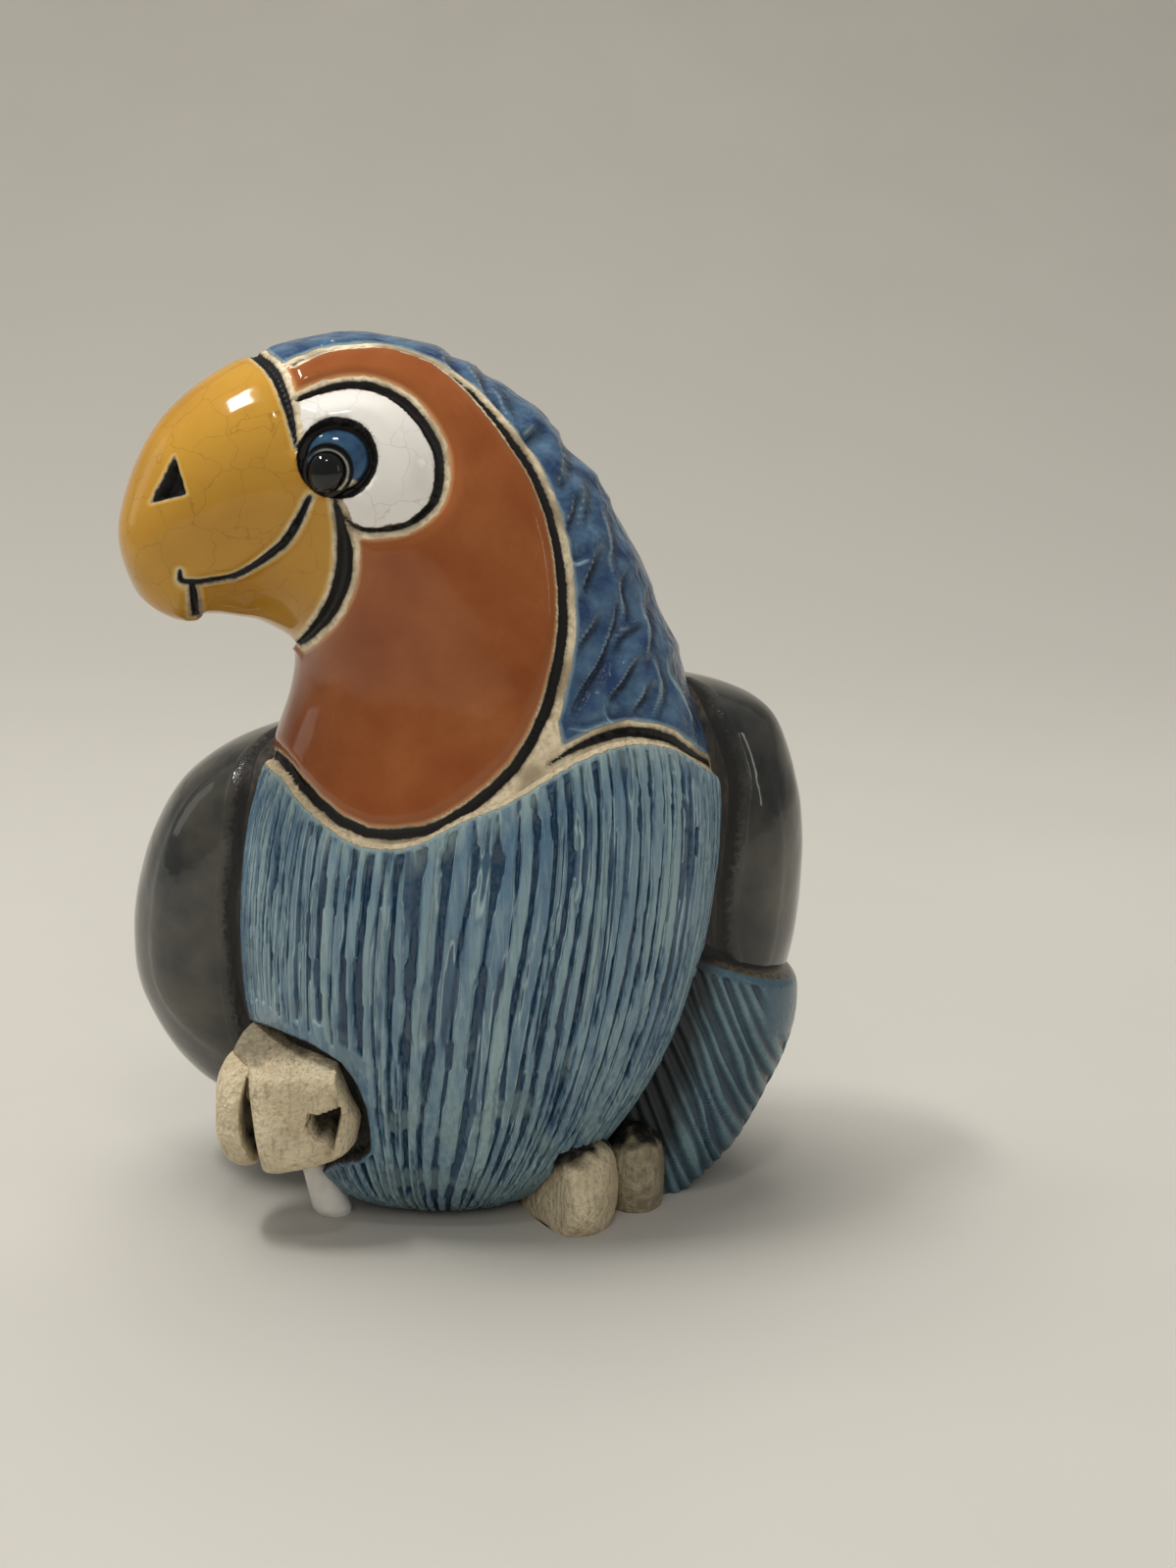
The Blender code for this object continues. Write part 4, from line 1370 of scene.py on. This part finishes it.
@dataclass(frozen=True)
class Breast:
    """The fluted breast: a shield whose flutes run up from the belly to the bib and the collar."""

    trunk: Trunk
    flutes: int = 48
    columns_a_flute: int = 8
    rows: int = 224
    foot: float = 0.3
    right: float = -6.0
    left: float = 186.0
    corner: float = 5.1
    margin: float = 0.09
    rise: float = 0.62
    depth: float = 0.52
    recess_depth: float = 1.3
    bib_line: float = 0.32
    sink: float = 1.6
    heart: Place = (-0.5, 5.0, 20.0)

    def top(self, turn: Array) -> Array:
        """The station of the breast's top edge: along the collar, then along the bib.

        Args:
            turn: How far round the trunk, in degrees.

        Returns:
            The station at each turn.
        """
        knots = self.trunk.locate(COLLAR[::-1] + FACE_EDGE[BIB_START:])
        edge = through(knots, np.linspace(0, len(knots) - 1, 160))
        order = np.argsort(edge[:, 1])
        turns = np.concatenate([[self.right], edge[order, 1], [self.left]])
        tops = np.concatenate([[self.corner], edge[order, 0], [self.corner]])
        return np.interp(turn, turns, tops) - self.margin

    def grid(self) -> tuple[Grid, Array]:
        """The fluted sheet.

        A flute is a groove along the middle of its strip, whose walls are eased up to a flat ridge on both
        sides. Noise bends the flutes, changes their width and depth, and breaks some of them with chips.

        Returns:
            The sheet, and the points sunk under it.
        """
        turn = np.linspace(self.right, self.left, self.flutes * self.columns_a_flute + 1)[None, :]
        share = np.linspace(0, 1, self.rows)[:, None]
        station = self.foot + (self.top(turn) - self.foot) * share
        turn = np.broadcast_to(turn, station.shape)
        base, normal = self.trunk.laid(station, turn)
        junction = self.trunk.locate([COLLAR[0]])[0, 1]
        below = run_along(base[::-1], 0)[::-1] - self.bib_line * ease(turn, junction, junction + 12.0)
        chart = np.stack([turn / 4.0, station * 1.6], -1)
        bend = 0.34 * noise(chart, 2.6, 21) + 0.14 * noise(chart, (1.0, 1.6), 22)
        phase = (turn - self.right) / (self.left - self.right) * self.flutes + bend
        number, edge = np.floor(phase), np.floor(phase + 0.5)
        pick = picked(number, 3, 5)
        long = noise(np.stack([number * 7.3, station * 2.2], -1), 1.0, 23)
        worn = ease(noise(np.stack([edge * 5.1, station * 2.6], -1), 1.0, 26), 0.2, 0.6)
        x, z = base[..., 0], base[..., 2]
        patch = rumple(np.stack([x + 0.6 * z, z - 0.6 * x], -1), 3.4, 24)
        chip = ease(patch, 0.2, 0.42) * fall(z, 12.0, 24.0)
        lip = np.clip(0.14 + 0.26 * (pick - 0.5) + 0.16 * long + 0.25 * worn, 0.02, 0.6)
        plateau = ease(ends(phase), lip, lip + 0.24)
        scratch = ease(noise(np.stack([phase * 4.4, station * 0.8], -1), 1.0, 27), 0.2, 0.55)
        depth = self.depth * np.clip(0.8 + 0.3 * (pick * 2 - 1) + 0.25 * long, 0.3, 1.15) * (1 - 0.65 * chip)
        places = sight(base)
        recess = flat_gap(places, RECESS)
        comb = ease(recess - 1.5 * pick * ease(places[..., 1], 9.0, 11.0), 0.15, 0.5)
        fade = ease(below - (0.4 + 0.45 * pick), 0.0, 0.5) * ease(share * 20, 0.0, 1.2) * comb
        rise = np.interp(below, [-0.32, 0.0, 0.25, 0.55, 1.0], [-0.4, -0.3, 0.22, 0.5, self.rise])
        carved = depth * (1 - plateau) + 0.24 * scratch * plateau
        relief = rise * ease(share * 20, -0.2, 0.8) - carved * fade
        relief += 0.06 * rumple(base, 1.1, 25) - 0.08 * chip
        relief -= self.recess_depth * fall(recess, -0.5, 0.0)
        tone = 0.62 + 0.38 * picked(edge, 4, 6)
        ridge = plateau * (tone - 0.55 * scratch) * fade + 0.6 * (1 - fade)
        measures = {"flute": ridge, "rim": below, "recess": recess, "chip": chip}
        return Grid(raised(base, normal, relief, 0.02), measures), base - normal * self.sink

    def build(self) -> None:
        """Makes the piece."""
        shield("parrot_breast", *self.grid(), self.heart, BreastFinish().material(), "glaze_body")


@dataclass(frozen=True)
class Wing:
    """A folded wing: a shield that stands out of the trunk as a rounded shoulder.

    Attributes:
        outline: Rows of front station, back station, front turn, back turn, height and how far the middle
            hangs.
        bands: Widths of the matte band along its front edge, at even steps from its foot to its top.
        lip: How far a worn lip and the groove over it reach up from its foot.
    """

    trunk: Trunk
    name: str
    outline: Outline
    heart: Place
    bands: tuple[float, ...]
    lip: float
    edge: float = 0.42
    tuck: float = 0.3
    fall: float = 0.5
    level: float = 0.25
    sink: float = 1.6
    rows: int = 190
    columns: int = 230

    def grid(self) -> tuple[Grid, Array]:
        """The wing's sheet: its height is a sine to a small power, and falls with the square of the way back.

        Returns:
            The sheet, and the points sunk under it.
        """
        rows = np.array(self.outline)
        share = np.linspace(0, 1, self.rows)[:, None]
        low, high, front, back, height, sag = np.moveaxis(through(rows, share * (len(rows) - 1)), -1, 0)
        across = (1 - np.cos(np.linspace(0, math.pi, self.columns))) / 2
        arch = np.sin(math.pi * across)
        station = low + (high - low) * across - sag * arch
        base, normal = self.trunk.laid(station, front + (back - front) * across)
        level = normal * (1, 1, self.level)
        level /= np.linalg.norm(level, axis=-1, keepdims=True)
        rise = height * arch**self.edge * (1 - self.fall * across**2) - self.tuck
        points = base + level * rise[..., None]
        band = np.interp(share, np.linspace(0, 1, len(self.bands)), self.bands)
        rim = run_along(points, 1) - band * (1 + 0.1 * noise(points, 5.0, 31))
        foot = run_along(points, 0)
        feather = ends(across * 15 + share * 5.5)
        rear = ease(across, 0.42, 0.6) * ease(share, 0.02, 0.1) * fall(share, 0.6, 0.85)
        cut = ease(foot, 0.36 * self.lip, 0.5 * self.lip) * fall(foot, 0.85 * self.lip, self.lip)
        relief = 0.22 * rumple(points, 8.0, 32) - 0.45 * fall(rim, -0.3, 0.1) - 0.3 * hill(rim, -0.35, 0.25)
        relief += 0.26 * hill(rim, 0.25, 0.28) - 0.3 * (1 - feather**2) * rear
        relief -= 0.4 * cut
        points = raised(points, level, relief, 0.05)
        spot = np.linalg.norm(sight(points) - np.mean(CREAM_CHIP, axis=0), axis=-1)
        return Grid(points, {
            "rim": rim, "groove": feather * rear, "cut": cut,
            "lip": fall(foot, 0.36 * self.lip, 0.5 * self.lip), "chip": fall(spot, 0.55, 0.75),
        }), base - normal * self.sink

    def build(self) -> None:
        """Makes the piece."""
        shield(self.name, *self.grid(), self.heart, WingFinish().material(), "wing_glaze")


@dataclass(frozen=True)
class Tail:
    """The tail: oval sections that narrow to the floor, with slanting grooves."""

    sections: Outline = (
        (-0.6, 11.0, 7.4, 7.0, 3.0),
        (3.3, 12.2, 9.4, 10.6, 6.2),
        (8.7, 12.8, 11.6, 13.4, 8.8),
        (13.0, 12.9, 12.4, 15.0, 10.5),
        (16.8, 12.9, 12.5, 15.5, 10.9),
        (18.2, 12.9, 12.4, 15.1, 10.5),
        (19.0, 12.6, 12.2, 13.6, 9.2),
        (21.0, 11.5, 11.8, 11.5, 7.5),
    )
    rows: int = 150
    columns: int = 460
    pitch: float = 1.27
    slant: float = 0.48
    depth: float = 0.34
    facing: float = math.radians(50.0)
    start: float = math.radians(-120.0)
    front: float = math.radians(-40.0)
    side: float = math.radians(15.0)
    outer: float = math.radians(29.0)
    rim: float = 17.9
    lift: float = 0.37
    lift_over: float = 16.8
    edge: float = 25.0
    lifted: tuple[float, float] = (-2.0, 7.5)

    def grid(self) -> Grid:
        """Ovals whose grooves run straight down and to the right as the front shows them.

        The grooves are counted by the distance across the front and by the distance round the side and the
        back. They meet out of step inside the trunk. The rim climbs towards the trunk: heights grow by a
        share of the distance from the tail's outer edge.

        Returns:
            Rows from the foot to the top, in columns that close round.
        """
        rows = np.array(self.sections)
        at = through(rows, np.linspace(0, len(rows) - 1, self.rows))[:, None, :]
        height, x, y, width, thick = np.moveaxis(at, -1, 0)
        angle = self.start + around(self.columns)
        turned, faced = math.sin(self.facing), math.cos(self.facing)

        def ring(cut: Array | float) -> tuple[Array, Array]:
            """The sections' points, cut this deep."""
            along, outer = (width - cut) * np.cos(angle), (thick - cut) * np.sin(angle)
            return x + along * turned + outer * faced, y - along * faced + outer * turned

        right, back = ring(0.0)
        over, behind = np.diff(right, axis=1), np.diff(back, axis=1)
        step = np.where(angle[:, 1:] < self.side, np.abs(over), np.hypot(over, behind))
        way = np.insert(np.cumsum(step, axis=1), 0, 0.0, axis=1)
        first = int(np.argmin(np.abs(angle[0] - self.front)))
        way += (right - way)[:, first : first + 1]
        phase = (way + self.slant * height) / self.pitch
        phase += 0.32 * noise(np.stack([phase * 0.7, np.broadcast_to(height / 4, phase.shape)], -1), 1.0, 41)
        pick = picked(np.floor(phase), 5, 43)
        plateau = ease(ends(phase), 0.12 + 0.25 * pick, 0.55 + 0.25 * pick)
        seen_side = ease(y - back, -6.0, -2.0)
        corner = ease(right, 23.0, 24.2) * ease(height, 12.0, 14.0) * seen_side
        fade = fall(height, self.rim - 0.5, self.rim) * (1 - corner)
        shallow = 1 - 0.75 * hill(angle, self.outer, 0.35)
        right, back = ring(self.depth * (0.6 + 0.6 * pick) * (1 - plateau) * fade * shallow)
        lift = self.lift * np.clip(self.edge - right, *self.lifted) * np.clip(height / self.lift_over, 0, 1)
        points = np.stack([right, back, np.maximum(height, 0.0) + lift], -1)
        points[..., :2] += 0.08 * rumple(points, 2.4, 42)[..., None]
        seen = sight(points)
        # Where the tail tucks against the body it is painted darker: partly stain, partly painted shade
        tucked = ease(-seen[..., 0] + 0.24 * seen[..., 1] + 0.8 * rumple(points, 2.0, 44), -16.4, -13.2)
        return Grid(points, {
            "groove": plateau * fade + 0.7 * (1 - fade),
            "stain": np.maximum(ease(height, self.rim + 0.6, self.rim + 0.9), tucked * seen_side),
            "lip": ease(height + 0 * angle, self.rim + 0.3, self.rim + 0.5),
        })

    def build(self) -> None:
        """Makes the piece."""
        closed_tube("parrot_tail", self.grid(), TailFinish().material())


@dataclass(frozen=True)
class Lump:
    """A rounded lump of bare clay, cut flat where it meets the floor, with carved cuts in its front.

    Attributes:
        square: Its squareness.
        lean: Its lean about Y in degrees.
        flats: Planes that it is whittled to, each a point on the flat and the way it faces.
        cuts: Outlines on the elevation that are cut into its front, with their depths.
        stained: A line on the elevation, from left to right, above which stain was rubbed in.
        dark: How dark the rest of it is, from 0 to 1.
        rubbed: How dark that stain is, and cut_shade_and_stain how dark a cut is made, by stain and painted
            shade in it.
        blunt: How round the edges of the flats are.
    """

    name: str
    centre: Place
    radii: Place
    square: float
    lean: float = 0.0
    flats: tuple[Outline, ...] = ()
    cuts: tuple[tuple[Outline, float], ...] = ()
    stained: Outline = ()
    dark: float = 0.0
    rubbed: float = 1.0
    blunt: float = 0.16
    # How dark a cut is painted: partly stain, partly painted shade in the cut
    cut_shade_and_stain: float = 0.92
    rows: int = 150
    columns: int = 240

    def grid(self) -> Grid:
        """A superellipsoid: the ring's radius and its height are powers of a cosine and a sine.

        Returns:
            Rows from below to above, in columns that close round.
        """
        latitude = np.linspace(-math.pi / 2, math.pi / 2, self.rows + 2)[1:-1, None]
        ring, up = rounded(latitude, self.square)
        east, north = rounded(around(self.columns), self.square)
        x, y, z = ring * east * self.radii[0], ring * north * self.radii[1], (up + 0 * east) * self.radii[2]
        cosine, sine = math.cos(math.radians(self.lean)), math.sin(math.radians(self.lean))
        middle = np.array(self.centre)
        points = middle + np.stack([x * cosine + z * sine, y, z * cosine - x * sine], -1)
        outward = points - middle
        outward /= np.linalg.norm(outward, axis=-1, keepdims=True)
        rough = 0.22 * rumple(points, 2.6, 51) + 0.07 * rumple(points, 0.8, 52)
        points = points + outward * rough[..., None]
        for place, way in self.flats:
            facing = np.array(way) / np.linalg.norm(way)
            over = (points - np.array(place)) @ facing + 0.12 * noise(points, 1.8, 53)
            points = points - facing * (self.blunt * np.logaddexp(0, over / self.blunt))[..., None]
        stain = np.full(points.shape[:2], self.dark)
        if self.stained:
            start, end = np.array(self.stained)
            run = (end - start) / np.linalg.norm(end - start)
            above = (sight(points) - start) @ np.array([-run[1], run[0]])
            stain = np.maximum(stain, self.rubbed * ease(above + 0.7 * noise(points, 0.9, 54), -1.0, 0.9))
        # Each cut is sunk and painted darker: partly stain, partly painted shade in it
        for outline, depth in self.cuts:
            cut = fall(flat_gap(sight(points), outline), -0.16, 0.08) * fall(outward[..., 1], -0.2, 0.0)
            points[..., 1] += depth * cut
            stain = np.maximum(stain, self.cut_shade_and_stain * cut)
        points[..., 2] = np.maximum(points[..., 2], 0.0)
        return Grid(points, {"stain": stain})

    def build(self) -> None:
        """Makes the piece."""
        closed_tube(self.name, self.grid(), BareClayFinish().material())


@dataclass(frozen=True)
class Rod:
    """The white rod under the raised foot, flared at its foot."""

    path: Outline = ((-14.0, -2.9, 8.0), (-13.4, -2.4, 4.8), (-12.6, -2.0, 2.4), (-11.9, -1.6, 0.0))
    radii: tuple[float, ...] = (1.0, 1.05, 1.4, 1.65)
    rows: int = 40
    columns: int = 40

    def grid(self) -> Grid:
        """Level rings along a smooth path, drawn in a little just above the floor.

        Returns:
            Rows from the foot above it to the floor, in columns that close round.
        """
        at = np.linspace(0, len(self.path) - 1, self.rows)
        x, y, z = np.moveaxis(through(np.array(self.path), at)[:, None, :], -1, 0)
        drawn_in = np.sqrt(np.clip(z / 0.5, 0.0, 1.0) * 0.25 + 0.75)
        radius = through(np.array(self.radii)[:, None], at) * drawn_in
        angle = around(self.columns)
        return Grid(np.stack([x + radius * np.cos(angle), y + radius * np.sin(angle), z + 0 * angle], -1))

    def build(self) -> None:
        """Makes the piece."""
        closed_tube("parrot_rod", self.grid(), RodFinish().material())


@dataclass(frozen=True)
class Iris:
    """An iris in its black ring, with the domed pupil off its middle, laid into one cheek."""

    trunk: Trunk
    side: int
    radius: float = 3.2
    ring: float = 2.3
    pupil_at: tuple[float, float] = (-0.85, -0.95)
    pupil: float = 1.6
    sink: float = 1.2
    rows: int = 70
    columns: int = 120

    def sheet(self, right: Array, up: Array) -> tuple[Array, Array]:
        """Places across the iris carried onto the cheek by its own slopes.

        Args:
            right: How far to the right of the iris's middle, in millimetres.
            up: How far above it.

        Returns:
            Points and unit normals.
        """
        station, turn = self.trunk.locate([IRIS_CENTRE])[0] * (1, self.side)
        out = self.trunk.laid(station, turn)[1]
        axis_up = np.array([0.0, 0.0, 1.0]) - out * out[2]
        axis_up /= np.linalg.norm(axis_up)
        axes = np.array([np.cross(axis_up, out) * self.side, axis_up])
        along = (self.trunk.surface(station + 0.05, turn) - self.trunk.surface(station - 0.05, turn)) / 0.1
        across = (self.trunk.surface(station, turn + 1) - self.trunk.surface(station, turn - 1)) / 2
        steps = np.linalg.solve(axes @ np.stack([along, across], -1), np.stack([right.ravel(), up.ravel()]))
        return self.trunk.laid(station + steps[0].reshape(right.shape), turn + steps[1].reshape(right.shape))

    def grid(self) -> Grid:
        """Rings round the iris's middle, lifted by the relief, over a bowl that closes it.

        Returns:
            Rows from the bowl's bottom over the rim to the middle, in columns that close round.
        """
        radius = np.linspace(self.radius, 0.02, self.rows)[:, None]
        angle = around(self.columns)
        right, up = radius * np.cos(angle), radius * np.sin(angle)
        base, normal = self.sheet(right, up)
        off = np.hypot(right - self.pupil_at[0], up - self.pupil_at[1])
        dome = np.where(radius < self.ring, 0.5 * (1 - (radius / self.ring) ** 2) + 0.1, 0.0)
        dome = dome * ease(self.ring - radius, 0.0, 0.25)
        cut = fall(off, self.pupil + 0.3, self.pupil + 0.55)
        relief = (dome - 0.5 * ease(radius, self.ring - 0.15, self.ring + 0.2)) * (1 - cut) - 0.1 * cut
        ball = np.sqrt(np.clip(1 - (off / self.pupil) ** 2, 0, 1))
        relief = np.where(off < self.pupil, np.maximum(relief, -0.1 + 1.35 * ball), relief)
        crescent = ease(-up - 0.25 * right, 1.1, 1.25) * ease(right, -0.6, -0.3)
        halo = fall(off, self.pupil + 0.12, self.pupil + 0.2)
        halo = halo * ease(right - self.pupil_at[0] + 0.4 * up, -0.9, 0.3) * 0.7
        sunk = base - normal * self.sink
        measures = {
            "ring": np.minimum(self.ring - radius, np.abs(off - self.pupil - 0.33) - 0.13),
            "pupil": ease(self.pupil - off, -0.05, 0.05),
            "crescent": np.maximum(crescent, halo),
        }
        return Grid(
            np.concatenate([sunk[-1:], sunk[:1], base + normal * relief[..., None]]),
            {label: np.concatenate([values[-1:], values[:1], values]) for label, values in measures.items()},
        )

    def build(self) -> None:
        """Makes the piece."""
        name = "parrot_near_iris" if self.side > 0 else "parrot_far_iris"
        closed_tube(name, self.grid(), EyeFinish().material())


# The studio


@dataclass(frozen=True)
class Lamp:
    """One soft rectangular light, in metres, aimed at the bird. One that isn't shown makes no highlight."""

    name: str
    place: Place
    size: tuple[float, float]
    power: float
    shown: bool = True
    tint: tuple[float, float, float] = (1.0, 0.98, 0.94)
    aim: Place = (0.0, 0.0, 0.035)

    def build(self) -> None:
        """Hangs the light."""
        light = bpy.data.lights.new(self.name, "AREA")
        light.shape = "RECTANGLE"
        light.size, light.size_y = self.size
        light.energy = self.power
        light.color = self.tint
        lamp = put(self.name, light)
        lamp.visible_glossy = self.shown
        lamp.location = self.place
        lamp.rotation_euler = (Vector(self.aim) - Vector(self.place)).to_track_quat("-Z", "Y").to_euler()


@dataclass(frozen=True)
class Studio:
    """The pale paper, the soft lights and the camera at the photograph's viewpoint."""

    lamps: tuple[Lamp, ...] = (
        Lamp("key", (-0.24, -0.04, 0.57), (0.17, 0.05), 1.2),
        Lamp("left", (-0.70, 0.12, 0.40), (0.5, 0.5), 0.3, shown=False),
        Lamp("side", (-0.66, 0.26, 0.28), (0.2, 0.4), 0.12),
        Lamp("right", (0.55, -0.18, 0.20), (0.035, 0.22), 0.08),
        Lamp("front", (0.03, -0.27, 0.54), (0.07, 0.03), 0.25),
        Lamp("fill", (0.0, -0.60, 0.42), (0.6, 0.4), 1.35, shown=False),
        Lamp("sky", (-0.15, 0.22, 0.80), (0.8, 0.6), 6.4, shown=False),
    )
    near: float = -0.6
    far: float = 0.9
    half_width: float = 0.9
    bend: float = 0.25
    curl: float = 1.6
    room: float = 0.31

    def camera(self) -> None:
        """Places the camera where the picture's perspective puts it, pitched down and looking along +Y."""
        lens = bpy.data.cameras.new("camera")
        lens.sensor_width = SENSOR
        lens.lens = FOCAL_PIXELS * SENSOR / IMAGE_HEIGHT
        lens.clip_start, lens.clip_end = 0.01, 10.0
        camera = put("camera", lens)
        camera.location = (EYE_POINT - (*BOX_CENTRE, 0.0)) * MILLIMETRE
        camera.rotation_euler = (math.pi / 2 - PITCH, 0.0, 0.0)
        bpy.context.scene.camera = camera

    def paper(self) -> None:
        """A sheet that lies flat and curves up behind: its height is the square of the way past the bend."""
        depths = np.linspace(self.near, self.far, 60)
        widths = np.linspace(-self.half_width, self.half_width, 4)
        y, x = np.meshgrid(depths, widths, indexing="ij")
        sheet = Grid(np.stack([x, y, self.curl * np.clip(y - self.bend, 0, None) ** 2], -1))
        mesh = bpy.data.meshes.new("paper")
        mesh.from_pydata(sheet.points.reshape(-1, 3).tolist(), [], sheet_faces(sheet.index, False).tolist())
        # far: where the paper is painted darker as shade
        carry(mesh, {"far": np.clip((y - 0.1) / 0.55, 0, 1)})
        mesh.materials.append(PaperFinish().material())
        mesh.shade_smooth()
        paper = put("paper", mesh)

    def build(self) -> None:
        """Sets up the whole studio."""
        self.camera()
        self.paper()
        for lamp in self.lamps:
            lamp.build()
        world = bpy.data.worlds.new("room")
        world.use_nodes = True
        background = world.node_tree.nodes["Background"]
        background.inputs[0].default_value = srgb(214, 212, 206)
        background.inputs[1].default_value = self.room
        bpy.context.scene.world = world
        bpy.context.scene.view_settings.view_transform = "Standard"


LEFT_WING = (
    (1.2, 0.9, 206.0, 226.0, 3.0, 0.0), (1.9, 1.7, 186.0, 240.0, 10.0, 0.0),
    (3.0, 2.8, 173.0, 252.0, 13.8, 0.0), (4.0, 3.9, 170.0, 260.0, 13.6, 0.0),
    (5.0, 5.0, 170.0, 262.0, 10.8, 0.0), (5.65, 5.75, 174.0, 262.0, 6.6, 0.0),
    (6.1, 6.35, 186.0, 250.0, 1.2, 0.0),
)
RIGHT_WING = (
    (3.5, 3.4, 8.0, -84.0, 11.9, 0.5), (3.95, 3.75, 8.0, -84.0, 11.8, 0.35),
    (4.7, 4.5, 8.0, -84.0, 10.9, 0.1), (5.5, 5.4, 6.0, -84.0, 9.8, 0.0), (6.2, 6.2, 4.0, -80.0, 8.4, 0.0),
    (6.6, 6.65, 0.0, -72.0, 5.2, 0.0), (6.85, 6.9, -12.0, -58.0, 1.0, 0.0),
)
LEFT_BANDS = (2.2, 2.4, 2.3, 2.2, 2.2, 2.4, 2.8, 3.0, 2.6)
RIGHT_BANDS = (4.4, 2.9, 2.2, 2.4, 2.6, 2.5, 2.2, 1.8, 1.4)
# Whittled flats: a point on each and the way it faces
FIST_TOP = ((-14.0, -9.8, 14.3), (0.0, -0.27, 0.96))
FIST_SIDE = ((-10.8, -8.0, 14.8), (0.93, -0.1, 0.36))
FIST_HEEL = ((-13.0, -8.0, 6.8), (0.3, 0.0, -0.95))
FIST_EDGE = ((-17.3, -9.0, 10.5), (-0.98, -0.1, -0.13))
TOE_SIDE = ((4.3, -2.3, 0.0), (-0.88, -0.46, 0.1))
FIST_STAIN = ((-21.3, 11.9), (-12.0, 12.7))
FEET = (
    Lump(
        "parrot_fist", (-13.7, -5.2, 10.9), (4.8, 5.3, 5.8), 3.6, 12.0,
        (FIST_TOP, FIST_SIDE, FIST_HEEL, FIST_EDGE), ((NOTCH, 2.6),), FIST_STAIN, rubbed=0.6,
    ),
    Lump(
        "parrot_palm", (-15.2, -3.6, 13.2), (4.4, 4.6, 3.6), 2.6, 16.0, (FIST_TOP,), (), FIST_STAIN,
        rubbed=0.6, rows=100, columns=160,
    ),
    Lump(
        "parrot_fist_toe", (-18.4, -4.9, 10.3), (2.3, 4.8, 4.6), 2.4, cuts=((SLIT, 2.4),),
        rows=130, columns=200,
    ),
    Lump(
        "parrot_front_toe", (7.0, -1.6, 2.4), (4.5, 6.5, 4.8), 2.4, flats=(TOE_SIDE,),
        stained=((2.6, 0.0), (10.9, 4.9)), dark=0.12, blunt=0.6,
    ),
    Lump(
        "parrot_second_toe", (12.9, 1.6, 2.4), (2.4, 4.2, 4.3), 2.5,
        stained=((10.6, 4.6), (15.0, 5.0)), dark=0.56, rows=100, columns=160,
    ),
)


def main() -> None:
    """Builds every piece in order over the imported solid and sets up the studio."""
    logging.basicConfig(level=logging.INFO, format="%(message)s")
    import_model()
    trunk = Trunk()
    breast = Breast(trunk)
    Head(trunk, breast).build()
    breast.build()
    Wing(trunk, "parrot_left_wing", LEFT_WING, (-8.0, 10.0, 26.0), LEFT_BANDS, 0.01).build()
    Wing(trunk, "parrot_right_wing", RIGHT_WING, (8.0, 12.0, 30.0), RIGHT_BANDS, 0.6).build()
    for piece in (Tail(), *FEET, Rod(), Iris(trunk, 1), Iris(trunk, -1), Studio()):
        piece.build()


if __name__ == "__main__":
    main()
